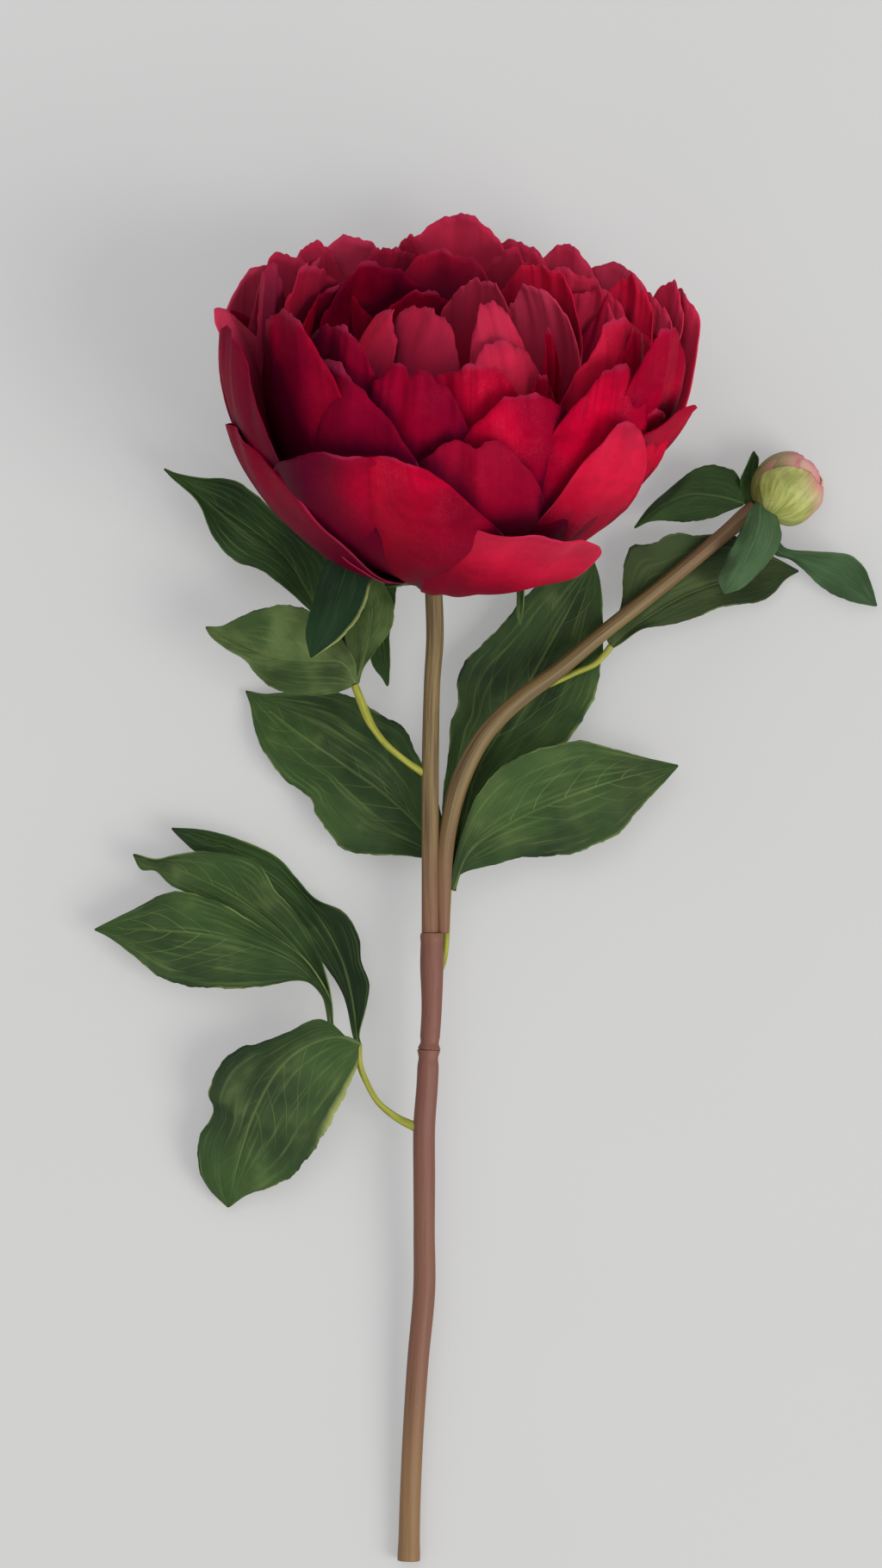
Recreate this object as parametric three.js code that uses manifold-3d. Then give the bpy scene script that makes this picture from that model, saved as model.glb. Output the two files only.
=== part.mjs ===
// A cut peony stem with one large bloom, one bud and its leaves, lying on its back.
// Everything is laid out in the bloom's own frame: x across, y along the stem towards
// the bloom, z away from the surface. The whole spray is then tilted until the cut
// end of the stem and the back of the bloom both rest on z = 0.
import * as THREE from "three";
import { mergeVertices } from "three/addons/utils/BufferGeometryUtils.js";
import Module from "manifold-3d";

const wasm = await Module();
wasm.setup();
const { Manifold, Mesh } = wasm;

// Driving dimensions, in millimetres and degrees
const seatHeight = 29.5; // height of the bloom's seat above the surface
const stemLength = 320.5; // from the seat down to the cut end
const stemEndRadius = 3.8;
const bloomNod = 30; // how far the bloom leans up from the line of the stem
const bloomLean = 4; // how far it leans to the right
const petalThickness = 0.8;
const leafThickness = 0.8;
const simplifyBy = 0.1; // detail smaller than this is dropped from the fused bloom
const seatGap = 0.3; // clearance between pieces that touch on the real stem
const viewDistance = 2400; // petal tips are placed as seen from this far above
const viewAcross = 2.5;
const viewAlong = -68;
const boxAcross = 17.61; // from the origin to the middle of the finished box
const boxAlong = -101.45;

const degrees = Math.PI / 180;
const layAngle = Math.asin((seatHeight - stemEndRadius) / stemLength);

// Small helpers

const clamp = (x, low, high) => Math.max(low, Math.min(high, x));

function smoothStep(x, from, to) {
  const q = clamp((x - from) / (to - from), 0, 1);
  return q * q * (3 - 2 * q);
}

// A point at share q of the way along a list of points, on a smooth curve through them.
function curvePoint(points, q) {
  const last = points.length - 1;
  const place = clamp(q, 0, 1) * last;
  const i = Math.min(Math.floor(place), last - 1);
  const f = place - i;
  const b = points[i];
  const c = points[i + 1];
  const a = points[i - 1] ?? b.map((x, k) => 2 * x - c[k]);
  const d = points[i + 2] ?? c.map((x, k) => 2 * x - b[k]);
  return b.map(
    (x, k) =>
      x +
      0.5 * f * (c[k] - a[k]) +
      0.5 * f * f * (2 * a[k] - 5 * x + 4 * c[k] - d[k]) +
      0.5 * f * f * f * (3 * x - a[k] - 3 * c[k] + d[k]),
  );
}

// The same curve cut into steps of even length.
function evenPoints(points, steps) {
  const fine = Array.from({ length: 241 }, (_, i) => curvePoint(points, i / 240));
  const run = [0];
  for (let i = 1; i < fine.length; i++) {
    run.push(run[i - 1] + Math.hypot(...fine[i].map((x, k) => x - fine[i - 1][k])));
  }
  const out = [];
  let j = 0;
  for (let i = 0; i <= steps; i++) {
    const want = (run.at(-1) * i) / steps;
    while (j < run.length - 2 && run[j + 1] < want) j++;
    const f = (want - run[j]) / (run[j + 1] - run[j] || 1);
    out.push(fine[j].map((x, k) => x + (fine[j + 1][k] - x) * clamp(f, 0, 1)));
  }
  return out;
}

function solidFrom(points, triangles) {
  const geometry = new THREE.BufferGeometry();
  const flat = points.flatMap((p) => [p.x, p.y, p.z]);
  geometry.setAttribute("position", new THREE.Float32BufferAttribute(flat, 3));
  geometry.setIndex(triangles.flat());
  const merged = mergeVertices(geometry, 1e-4);
  const vertProperties = merged.attributes.position.array;
  const triVerts = new Uint32Array(merged.index.array);
  const solid = new Manifold(new Mesh({ numProp: 3, vertProperties, triVerts }));
  if (solid.volume() > 0) return solid;
  return solidFrom(points, triangles.map(([a, b, c]) => [a, c, b]));
}

// A closed blade round a grid of points, with both faces split along the same diagonals.
function sheetSolid(grid, thickness, settle = (p) => p) {
  const rows = grid.length - 1;
  const cols = grid[0].length - 1;
  const points = [];
  for (const side of [0.5, -0.5]) {
    for (let i = 0; i <= rows; i++) {
      for (let j = 0; j <= cols; j++) {
        const along = grid[Math.min(i + 1, rows)][j].clone();
        along.sub(grid[Math.max(i - 1, 0)][j]);
        const across = grid[i][Math.min(j + 1, cols)].clone();
        across.sub(grid[i][Math.max(j - 1, 0)]);
        const normal = along.cross(across).normalize();
        const p = grid[i][j].clone().addScaledVector(normal, side * thickness);
        points.push(settle(p, side));
      }
    }
  }
  const front = (i, j) => i * (cols + 1) + j;
  const back = (i, j) => front(i, j) + (rows + 1) * (cols + 1);
  const triangles = [];
  for (let i = 0; i < rows; i++) {
    for (let j = 0; j < cols; j++) {
      triangles.push([front(i, j), front(i, j + 1), front(i + 1, j + 1)]);
      triangles.push([front(i, j), front(i + 1, j + 1), front(i + 1, j)]);
      triangles.push([back(i, j), back(i + 1, j + 1), back(i, j + 1)]);
      triangles.push([back(i, j), back(i + 1, j), back(i + 1, j + 1)]);
    }
  }
  const rim = [];
  for (let j = 0; j < cols; j++) rim.push([0, j]);
  for (let i = 0; i < rows; i++) rim.push([i, cols]);
  for (let j = cols; j > 0; j--) rim.push([rows, j]);
  for (let i = rows; i > 0; i--) rim.push([i, 0]);
  rim.forEach(([i, j], k) => {
    const [m, n] = rim[(k + 1) % rim.length];
    triangles.push([front(i, j), back(m, n), front(m, n)]);
    triangles.push([front(i, j), back(i, j), back(m, n)]);
  });
  return solidFrom(points, triangles);
}

// A round bar along stations of [x, y, z, radius].
function barSolid(stations, { grow = 0, steps = 12, sides = 10 } = {}) {
  const line = evenPoints(stations, steps);
  const centres = line.map(([x, y, z]) => new THREE.Vector3(x, y, z));
  const points = [];
  let reference = new THREE.Vector3(0, 0, 1);
  line.forEach((station, i) => {
    const ahead = centres[Math.min(i + 1, steps)].clone();
    ahead.sub(centres[Math.max(i - 1, 0)]).normalize();
    const sideways = new THREE.Vector3().crossVectors(ahead, reference).normalize();
    const up = new THREE.Vector3().crossVectors(sideways, ahead);
    reference = up;
    const centre = centres[i].clone();
    if (i === 0) centre.addScaledVector(ahead, -grow);
    if (i === steps) centre.addScaledVector(ahead, grow);
    for (let k = 0; k < sides; k++) {
      const turn = (2 * Math.PI * k) / sides;
      const p = centre.clone();
      p.addScaledVector(sideways, (station[3] + grow) * Math.cos(turn));
      p.addScaledVector(up, (station[3] + grow) * Math.sin(turn));
      points.push(p);
    }
  });
  const triangles = [];
  for (let i = 0; i < steps; i++) {
    for (let k = 0; k < sides; k++) {
      const a = i * sides + k;
      const b = i * sides + ((k + 1) % sides);
      triangles.push([a, b, b + sides], [a, b + sides, a + sides]);
    }
  }
  const top = steps * sides;
  for (let k = 1; k < sides - 1; k++) {
    triangles.push([0, k + 1, k], [top, top + k, top + k + 1]);
  }
  return solidFrom(points, triangles);
}

// Fuses solids into one body, filling any pocket closed off inside.
function fuse(solids) {
  const whole = Manifold.union(solids);
  const bodies = whole.decompose().filter((body) => body.volume() > 0);
  return bodies.reduce((a, b) => (a.volume() > b.volume() ? a : b));
}

// What is left of a solid beside its neighbours, given already grown by the gap.
function beside(solid, ...neighbours) {
  return fuse([neighbours.reduce((left, other) => left.subtract(other), solid)]);
}

// The bloom: petals stand round an axis that nods up and leans to the right

const nod = bloomNod * degrees;
const lean = bloomLean * degrees;
const axis = new THREE.Vector3(
  Math.cos(nod) * Math.sin(lean),
  Math.cos(nod) * Math.cos(lean),
  Math.sin(nod),
);
const rightward = new THREE.Vector3(Math.cos(lean), -Math.sin(lean), 0);
const backward = new THREE.Vector3(
  Math.sin(nod) * Math.sin(lean),
  Math.sin(nod) * Math.cos(lean),
  -Math.cos(nod),
);

// Where each tier of petals grows from the core: [radius, height].
const tiers = [
  [9, 1],
  [9, 6],
  [8, 12],
  [7, 18],
  [5, 24],
];

const ordinaryPetal = {
  side: -1, // -1 on the near side of the bloom, 1 on the far side
  tier: 1,
  bow: 0.25, // how far it bellies out, as a share of its length
  cup: 40, // radius of its hollow
  curl: 0, // outward curl of the tip
  notch: 0,
  point: 0,
  round: 0.42,
  turn: 12, // degrees turned to face the viewer
  twist: 6,
  lean: 0, // degrees from its root round to its tip
  ruffle: 1,
  waves: 1.5,
  phase: 0,
  widest: 0.62, // share of its length where it is widest
};

// Petals placed by their tips: [across, along, reach from the axis, width, differences].
const placedPetals = [
  // near side, outer tier first
  [-31, 40, 72, 52, { tier: 0, bow: 0.2, round: 0.3, cup: 46, phase: 1, lean: 10, turn: 0, twist: -4 }],
  [-14.5, 40, 70, 66, { tier: 0, bow: 0.2, round: 0.5, cup: 44, lean: -24, turn: 0, twist: 8 }],
  [36, 10, 76, 60, { tier: 0, bow: 0.16, curl: 0.08, turn: 10, cup: 60, round: 0.3, lean: -10, twist: 14 }],
  [67, 50.5, 80, 60, { tier: 0, bow: 0.22, ruffle: 0.8, cup: 46, turn: 26, round: 0.5, twist: 0, lean: -6 }],
  [85.5, 55.5, 88, 54, { tier: 0, bow: 0.2, curl: 0.05, point: 0.08, cup: 60, turn: 16, twist: 0 }],
  [-66.5, 45.5, 74, 56, { tier: 0, bow: 0.26, cup: 46, turn: 4, round: 0.3, twist: 0 }],
  [82, 92.5, 84, 46, { tier: 0, side: 1, bow: 0.22, cup: 50, turn: 14, twist: 0 }],
  [-69.5, 74.5, 74, 52, { tier: 0, bow: 0.22, cup: 44, turn: 0 }],
  [13.5, 44, 60, 52, { tier: 1, bow: 0.26, notch: 0.05, ruffle: 1.3, cup: 30, phase: 0.5, lean: -4 }],
  [29, 59, 57, 62, { tier: 1, bow: 0.28, cup: 36, turn: 6, lean: -6 }],
  [62, 69, 68, 54, { tier: 1, bow: 0.26, cup: 34, turn: 34, round: 0.5, twist: 0 }],
  [-27.5, 66, 55, 58, { tier: 1, bow: 0.28, cup: 38, turn: 8 }],
  [-45, 80, 60, 56, { tier: 1, bow: 0.28, curl: 0.08, cup: 40, turn: 14 }],
  [-65, 80, 74, 44, { tier: 1, bow: 0.24, cup: 40, turn: 0, twist: 0 }],
  [80.5, 82, 80, 34, { tier: 1, bow: 0.24, cup: 34, turn: 20, twist: 0 }],
  [75.5, 54.5, 80, 44, { tier: 1, bow: 0.24, cup: 40, turn: 24, twist: 0 }],
  [-6.5, 69, 49, 50, { tier: 2, bow: 0.28, cup: 28, notch: 0.04, ruffle: 1.3 }],
  [12.5, 68.5, 43, 54, { tier: 2, bow: 0.28, cup: 28, ruffle: 1.4, phase: 2 }],
  [59.5, 83, 59.5, 44, { tier: 2, bow: 0.26, cup: 28, turn: 34, round: 0.5, twist: 0 }],
  [-30, 81, 50, 44, { tier: 3, bow: 0.22, cup: 28, turn: 14 }],
  // the small petals of the centre
  [21.5, 76, 30, 40, { tier: 3, bow: 0.26, cup: 20, turn: 6 }],
  [-1, 87, 12, 48, { tier: 3, bow: 0.3, cup: 22, turn: 0 }],
  [-13.5, 85.5, 20, 38, { tier: 3, bow: 0.3, cup: 18, turn: 8 }],
  [20, 90.5, 20.5, 36, { tier: 4, bow: 0.3, cup: 20, turn: 8 }],
  [30.5, 94.5, 32, 38, { tier: 3, bow: 0.28, cup: 22, side: 1 }],
  [12, 98.5, 24, 40, { tier: 4, bow: 0.2, cup: 20, side: 1, point: 0.08 }],
  // far side, outer rim then inner rings
  [62, 100.5, 74, 60, { tier: 0, side: 1, bow: 0.22, cup: 50, ruffle: 1.3 }],
  [-57.5, 102, 70, 58, { tier: 0, side: 1, bow: 0.22, cup: 44 }],
  [-70.5, 87.5, 74, 40, { tier: 0, side: 1, bow: 0.2, curl: 0.06, cup: 34, point: 0.1 }],
  [78, 96, 80, 40, { tier: 1, side: 1, bow: 0.22, cup: 34, point: 0.06 }],
  [44.5, 107.5, 68, 50, { tier: 1, side: 1, bow: 0.22, cup: 34, point: 0.05, ruffle: 1.2 }],
  [27, 108.5, 66, 52, { tier: 1, side: 1, bow: 0.22, cup: 38 }],
  [9, 118, 60, 68, { tier: 1, side: 1, bow: 0.24, cup: 36, ruffle: 1.4 }],
  [-27.5, 110.5, 62, 56, { tier: 1, side: 1, bow: 0.22, cup: 34, ruffle: 1.4, point: 0.04 }],
  [-48.5, 105.5, 64, 48, { tier: 1, side: 1, bow: 0.22, cup: 28, point: 0.05, ruffle: 1.4 }],
  [-40, 100, 50, 48, { tier: 2, side: 1, bow: 0.22, cup: 30 }],
  [-19, 101, 40, 52, { tier: 3, side: 1, bow: 0.2, cup: 28 }],
  [-7, 101, 36, 42, { tier: 3, side: 1, bow: 0.2, cup: 26 }],
  [3.5, 105, 42, 50, { tier: 3, side: 1, bow: 0.2, cup: 28 }],
  [35.5, 101, 42, 42, { tier: 3, side: 1, bow: 0.22, cup: 26 }],
  [44, 99, 52, 50, { tier: 3, side: 1, bow: 0.22, cup: 26 }],
  [54, 94, 57, 44, { tier: 3, side: 1, bow: 0.22, cup: 28, point: 0.05 }],
];

// The guard petals underneath, spaced by a rule. The flower's weight presses the lowest flat.
const underPetals = [20, 52, 84, 116, 148, 176].map((azimuth, i) => ({
  ...ordinaryPetal,
  azimuth: azimuth * degrees,
  reach: 74 + 4 * (i % 2),
  height: 78 + 4 * ((i * 7) % 3),
  width: 60,
  side: 1,
  tier: 0,
  bow: 0.26,
  cup: 52,
  turn: 0,
  phase: i,
  pressed: azimuth > 30 && azimuth < 120,
}));

// Finds the azimuth and height that put a petal's tip where it is seen.
function placePetal([across, along, reach, width, differences]) {
  let depth = 0;
  let azimuth = 0;
  let height = 0;
  for (let pass = 0; pass < 6; pass++) {
    const share = (viewDistance - depth) / viewDistance;
    const x = viewAcross + (across - viewAcross) * share;
    const y = viewAlong + (along - viewAlong) * share;
    const outward = x * Math.cos(lean) - y * Math.sin(lean);
    const upward = x * Math.sin(lean) + y * Math.cos(lean);
    azimuth = Math.acos(clamp(outward / reach, -1, 1)) * (differences.side ?? -1);
    height = (upward - reach * Math.sin(azimuth) * Math.sin(nod)) / Math.cos(nod);
    depth = height * axis.z + reach * Math.sin(azimuth) * backward.z;
  }
  return { ...ordinaryPetal, ...differences, azimuth, height, reach, width };
}

// A petal's middle surface as rows of points, from root to rim.
function petalGrid(petal, rows, cols) {
  const root = new THREE.Vector2(...tiers[petal.tier]);
  const tip = new THREE.Vector2(petal.reach, petal.height);
  const chord = tip.clone().sub(root);
  const length = chord.length();
  const out = new THREE.Vector2(chord.y, -chord.x).divideScalar(length);
  tip.addScaledVector(out, -0.75 * petal.curl * length);
  chord.copy(tip).sub(root);
  const belly = petal.bow * length;
  const low = root.clone().addScaledVector(chord, 0.3).addScaledVector(out, 1.15 * belly);
  const high = root.clone().addScaledVector(chord, 0.75).addScaledVector(out, 0.95 * belly);
  const midline = new THREE.CubicBezierCurve(root, low, high, tip);
  const facing = (petal.turn * Math.cos(petal.azimuth) * -petal.side + petal.twist) * degrees;
  const grid = [];
  for (let i = 0; i <= rows; i++) {
    const share = i / rows;
    const row = [];
    for (let j = 0; j <= cols; j++) {
      const t = -1 + (2 * j) / cols;
      const rim =
        1 -
        petal.round * (1 - Math.sqrt(1 - (0.97 * t) ** 2)) -
        petal.point * Math.abs(t) -
        petal.notch * Math.exp(-((t / 0.16) ** 2));
      const s = share * rim;
      const middle = midline.getPoint(s);
      const slope = midline.getTangent(clamp(s, 0.001, 0.999));
      const bulge = new THREE.Vector2(slope.y, -slope.x);
      middle.addScaledVector(bulge, petal.curl * length * clamp((s - 0.72) / 0.28, 0, 1) ** 2);
      const azimuth = petal.azimuth - petal.lean * degrees * (1 - s);
      const radial = new THREE.Vector3();
      radial.addScaledVector(rightward, Math.cos(azimuth));
      radial.addScaledVector(backward, Math.sin(azimuth));
      const around = new THREE.Vector3();
      around.addScaledVector(rightward, -Math.sin(azimuth));
      around.addScaledVector(backward, Math.cos(azimuth));
      const normal = radial.clone().multiplyScalar(bulge.x).addScaledVector(axis, bulge.y);
      const turned = facing * smoothStep(s, 0.1, 0.6);
      const sideways = around.clone().multiplyScalar(Math.cos(turned));
      sideways.addScaledVector(normal, Math.sin(turned));
      const outward = normal.clone().multiplyScalar(Math.cos(turned));
      outward.addScaledVector(around, -Math.sin(turned));
      const widening = Math.sin((Math.PI / 2) * clamp(s / petal.widest, 0, 1)) ** 0.9;
      const narrowing = clamp((s - petal.widest) / (1 - petal.widest), 0, 1) ** 2;
      const half = (petal.width / 2) * (0.2 + 0.8 * widening) * (1 - 0.18 * narrowing);
      const hollow = petal.cup * (0.35 + 0.65 * clamp(s / 0.6, 0, 1));
      const bend = (t * half) / hollow;
      const wave =
        petal.ruffle * Math.sin(2 * Math.PI * petal.waves * t + petal.phase) * smoothStep(share, 0.5, 1) +
        0.7 * petal.ruffle * Math.sin(3.4 * Math.PI * s + 2 * petal.phase) * Math.abs(t) ** 3;
      const point = radial.clone().multiplyScalar(middle.x).addScaledVector(axis, middle.y);
      point.addScaledVector(sideways, hollow * Math.sin(bend));
      point.addScaledVector(outward, hollow * (Math.cos(bend) - 1) + wave);
      row.push(point);
    }
    grid.push(row);
  }
  return grid;
}

// Presses whatever would dip under the surface flat against it.
function restOnSurface(point, side) {
  const floor = side > 0 ? petalThickness : 0;
  const height = seatHeight + point.y * Math.sin(layAngle) + point.z * Math.cos(layAngle);
  const lift = Math.max(0, floor - height);
  return point.add(new THREE.Vector3(0, Math.sin(layAngle), Math.cos(layAngle)).multiplyScalar(lift));
}

// Stations of a turned shape on the bloom's axis, from [height, radius] pairs.
const onAxis = (profile) => profile.map(([height, radius]) => [...axis.clone().multiplyScalar(height), radius]);

function bloomSolid() {
  const core = [[-2, 9.5], [7, 18], [18, 26], [36, 31], [54, 30], [66, 22], [72, 10]];
  const petals = [...placedPetals.map(placePetal), ...underPetals];
  const solids = petals.map((petal) => {
    const detail = petal.pressed ? 6 : petal.tier < 2 ? 3 : 2;
    return sheetSolid(petalGrid(petal, detail, detail), petalThickness, restOnSurface);
  });
  const whole = fuse([barSolid(onAxis(core), { steps: 6, sides: 14 }), ...solids]);
  return fuse([whole.simplify(simplifyBy)]);
}

// The green cup under the bloom, with its sepals
function sepalCup(grow = 0) {
  return barSolid(onAxis([[-5, 3.6], [-4, 5.4], [-2.3, 6.4]]), { grow, steps: 3, sides: 12 });
}

function sepalSolid(grow = 0) {
  const sepal = { ...ordinaryPetal, tier: 5, bow: 0.06, cup: 20, curl: -0.1, point: 0.4, ruffle: 0 };
  const blades = [-32, 35, 95, 150].map((azimuth, i) => {
    const grid = petalGrid(
      { ...sepal, azimuth: azimuth * degrees, reach: 30 - 2 * i, height: -5, width: 13, side: 1 },
      4,
      2,
    );
    return sheetSolid(grid, petalThickness + 2 * grow);
  });
  return fuse([sepalCup(grow), ...blades]);
}
tiers.push([3, -3.6]);

// Leaves: a midrib of [x, y, z], the outline on either side as seen from above,
// and how far each side lifts away from the midrib.
const leaves = {
  lowerLobe: {
    rib: [[-33.5, -146, -2], [-35, -138, -3], [-44, -127, -4], [-57, -121, -5], [-73.5, -117, -6],
      [-93, -115.5, -8], [-110.5, -115.5, -10]],
    left: [[-34.5, -143.5], [-36.5, -136.5], [-43, -132], [-57, -134], [-68, -134.5], [-82, -133.5],
      [-90.5, -130], [-99, -123], [-106, -118]],
    right: [[-33.5, -138], [-38.5, -129], [-44, -123], [-57, -114], [-71, -106], [-85, -103],
      [-96, -108], [-106, -113]],
    lift: [1, 4],
  },
  lowerSecondLobe: {
    rib: [[-33.5, -146, -2], [-36.5, -133.5, -4], [-44, -122.5, -6], [-54, -112.5, -8], [-68, -103, -9],
      [-83.5, -96, -9], [-98, -91, -11]],
    left: [[-35, -139], [-41.5, -129.5], [-51, -121], [-62.5, -112.5], [-73.5, -106], [-85, -101.5],
      [-90.5, -96.5], [-95.5, -96]],
    right: [[-33, -139], [-35, -129.5], [-39.5, -118.5], [-45.5, -109], [-52, -102], [-56, -95],
      [-61, -92], [-73.5, -90], [-83.5, -91], [-90.5, -92.5]],
    lift: [-2, 3],
  },
  lowerBack: {
    rib: [[-24.6, -152, -2.8], [-26.5, -138, -8], [-30.5, -124, -11], [-38.5, -110, -13], [-50, -97, -14],
      [-66.5, -89, -14], [-85.5, -82.5, -13]],
    left: [[-26.5, -149], [-29.5, -136.5], [-36, -126.5], [-45.5, -115.5], [-57, -105.5], [-68, -97],
      [-78, -90], [-82.5, -86]],
    right: [[-24, -149], [-21.5, -139], [-21, -132.5], [-23.5, -126], [-24.5, -117.5], [-29, -110],
      [-38.5, -105.5], [-45, -98.5], [-51, -92], [-62.5, -86.5], [-75, -83]],
    lift: [0, 2],
  },
  lowerHanging: {
    rib: [[-24, -152.5, 0.4], [-32, -150, 5], [-43, -154, 6], [-51, -161.5, 5], [-57.5, -173, 3],
      [-62.5, -187, 0], [-67, -206, -8]],
    left: [[-25, -160], [-30, -171.5], [-35, -181], [-40, -188.5], [-46, -195.5], [-52.5, -199], [-61, -202]],
    right: [[-27.5, -151], [-33, -146], [-38.5, -144.5], [-47, -148.5], [-57, -152.5], [-62.5, -153.5],
      [-69.5, -159.5], [-73, -168], [-71.5, -174.5], [-76, -183], [-76.5, -192.5], [-73, -200]],
    lift: [-4, -5],
  },
  upperFar: {
    rib: [[-26, -36, -2], [-30, -21.5, -5], [-38.5, -10, -7], [-47, 4.5, -9], [-57.5, 14, -10],
      [-68.5, 21.5, -12], [-78.5, 28.5, -13], [-88, 35, -14]],
    left: [[-28.5, -28.5], [-34.5, -17.5], [-44, -8], [-51, -2], [-57, 2], [-64, 4.5], [-69, 8.5],
      [-73, 15], [-75.5, 21.5], [-78.5, 26], [-85, 31.5]],
    right: [[-25, -28.5], [-26, -14.5], [-29.5, -3.5], [-33, 3.5], [-40, 12], [-50, 19], [-57.5, 26],
      [-65, 31], [-76.5, 32], [-84, 33.5]],
    lift: [2, 3],
  },
  upperNear: {
    rib: [[-25.5, -35, 4], [-29.5, -28.5, 5], [-40, -28, 5], [-51, -27, 4], [-62.5, -23, 1], [-74, -17, -3]],
    left: [[-27.5, -37], [-34.5, -39], [-45.5, -39], [-52.5, -36.5], [-57.5, -32.5], [-61, -28],
      [-67.5, -24], [-72, -20.5]],
    right: [[-26, -27], [-31.5, -19], [-39.5, -12.5], [-47, -10], [-55.5, -11], [-62.5, -13.5], [-68.5, -16.5]],
    lift: [3, 2],
  },
  upperRight: {
    rib: [[-25, -35, 3], [-22, -24.5, 1], [-20, -13, -1], [-21, -2, -3], [-26, 7, -5]],
    left: [[-26.5, -28.5], [-29, -19], [-29, -9], [-29.5, -0.5], [-29, 5]],
    right: [[-22.5, -30], [-17.5, -23], [-13.5, -17], [-13, -10], [-16, -3], [-20.5, 5]],
    lift: [-2, -2],
  },
  underBloom: {
    rib: [[-1.5, -9.5, 2.8], [-11.5, -7.5, 9], [-20.5, -5.5, 14], [-27.5, -9, 19], [-33, -17, 20], [-40, -27.5, 17]],
    left: [[-10.5, -10], [-15.5, -9.5], [-19.5, -10], [-22, -14.5], [-27.5, -21], [-34.5, -25.5]],
    right: [[-11.5, -5.5], [-20.5, -3], [-30, -2], [-36.5, -5], [-39, -12], [-40.5, -21.5]],
    lift: [-4, -4],
  },
  behindStem: {
    rib: [[-1.2, -11, -2.8], [-9, -9, -8], [-14.5, -14, -10], [-16, -23, -12], [-15, -36, -14]],
    left: [[-5.5, -12], [-9.5, -12], [-12.5, -15], [-14.5, -20], [-14, -30]],
    right: [[-6, -8], [-12.5, -6], [-17.5, -10], [-20.5, -19], [-19.5, -28], [-16.5, -33]],
    lift: [-1, -1],
  },
  middleLeft: {
    rib: [[4, -102.5, -7.6], [-1.5, -86, -9], [-15, -72, -12], [-29, -62, -15], [-44, -51.5, -19],
      [-61.5, -37.5, -24]],
    left: [[2.5, -94], [-9, -91.5], [-26, -90.5], [-32, -86.5], [-38, -78.5], [-40, -73], [-48.5, -66.5],
      [-55.5, -57.5], [-59, -48.5], [-60, -42.5]],
    right: [[3.5, -90], [2, -76], [-3, -63.5], [-7, -54.5], [-10, -49.5], [-19, -44], [-27.5, -39],
      [-37, -37.5], [-48.5, -38], [-55.5, -38.5]],
    lift: [2, 3],
  },
  middleUp: {
    rib: [[5.2, -101.5, -5.2], [8.5, -87.5, -9], [13.5, -66.5, -13], [21.5, -51, -16], [33, -31.5, -18],
      [43.5, -12.5, -18], [52.5, 5, -18]],
    left: [[3, -90], [3, -73.5], [4.5, -62], [5.5, -51], [6, -47], [8, -42.5], [8, -34], [12, -26],
      [22.5, -16], [28.5, -8], [38.5, 0], [46, 3]],
    right: [[9, -93], [15.5, -80.5], [27, -68], [38.5, -58], [46, -51], [52, -41], [55, -28.5],
      [55.5, -12], [54.5, -1]],
    lift: [2, 4],
  },
  middleRight: {
    rib: [[6.5, -102.5, -3.4], [12, -89.5, -4.5], [27, -79.5, -6], [44, -72, -6], [62, -66, -9], [80, -62, -14]],
    left: [[6.5, -94.5], [10, -82], [16, -69], [26, -60], [38.5, -55.5], [47.5, -54], [55, -55.5], [68, -59]],
    right: [[7.5, -99], [10.5, -96.5], [19, -94.5], [28.5, -92], [38.5, -91.5], [46, -90.5], [55, -87],
      [62, -83], [66, -77.5], [73.5, -69.5]],
    lift: [3, -3],
  },
  branch: {
    rib: [[58, -23, -14], [68, -15, -17], [83, -6, -20], [101.5, 0, -23], [120, 2, -27]],
    left: [[57, -19.5], [61.5, -9], [62.5, 5], [65.5, 10], [70.5, 10.5], [79, 14], [87.5, 13.5],
      [97, 14], [107, 9], [114, 5.5]],
    right: [[61.5, -22], [68, -17.5], [76, -16], [84.5, -14], [94.5, -10], [105.5, -8.5], [111, -6], [115.5, -1]],
    lift: [2, 2],
  },
  bractLeft: {
    rib: [[101.5, 24, -18], [91.5, 26.5, -17], [80.5, 26, -18], [66, 16, -22]],
    left: [[97, 21.5], [91, 19], [83, 18], [75.5, 18.5], [70.5, 18]],
    right: [[101, 30], [98.5, 34.5], [91.5, 36.5], [85.5, 35], [79, 30], [70.5, 22.5]],
    lift: [-2, -3],
  },
  bractTop: {
    rib: [[103.5, 23, -20], [103, 30, -20], [105, 41, -20]],
    left: [[100.5, 27], [100.5, 31.5], [102.5, 36]],
    right: [[106.5, 26], [106, 33.5], [106.5, 38.5]],
    lift: [2, 2],
  },
  bractFront: {
    rib: [[107, 24.5, -15.3], [106, 15.5, -10], [101.5, 5, -8], [95, -6, -10]],
    left: [[111, 22], [113.5, 15.5], [113, 10], [108.5, 3.5], [101.5, -3.5]],
    right: [[103.5, 21.5], [100, 14], [96, 6.5], [93, -0.5]],
    lift: [-3, -3],
  },
  bractRight: {
    rib: [[108, 20, -18], [112.5, 9, -18], [122.5, 5.5, -18], [135, 0, -20], [145.5, -9.5, -24]],
    left: [[110, 18], [114, 10.5], [118, 8.5], [126.5, 8], [136, 7], [141, 3], [144, -3.5]],
    right: [[107, 16], [111, 8], [117.5, 5.5], [122.5, 1], [128, -4], [135, -7.5], [140.5, -9]],
    lift: [2, -2],
  },
};

const baseHalfWidth = 1;
const tipHalfWidth = 0.3;

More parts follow.
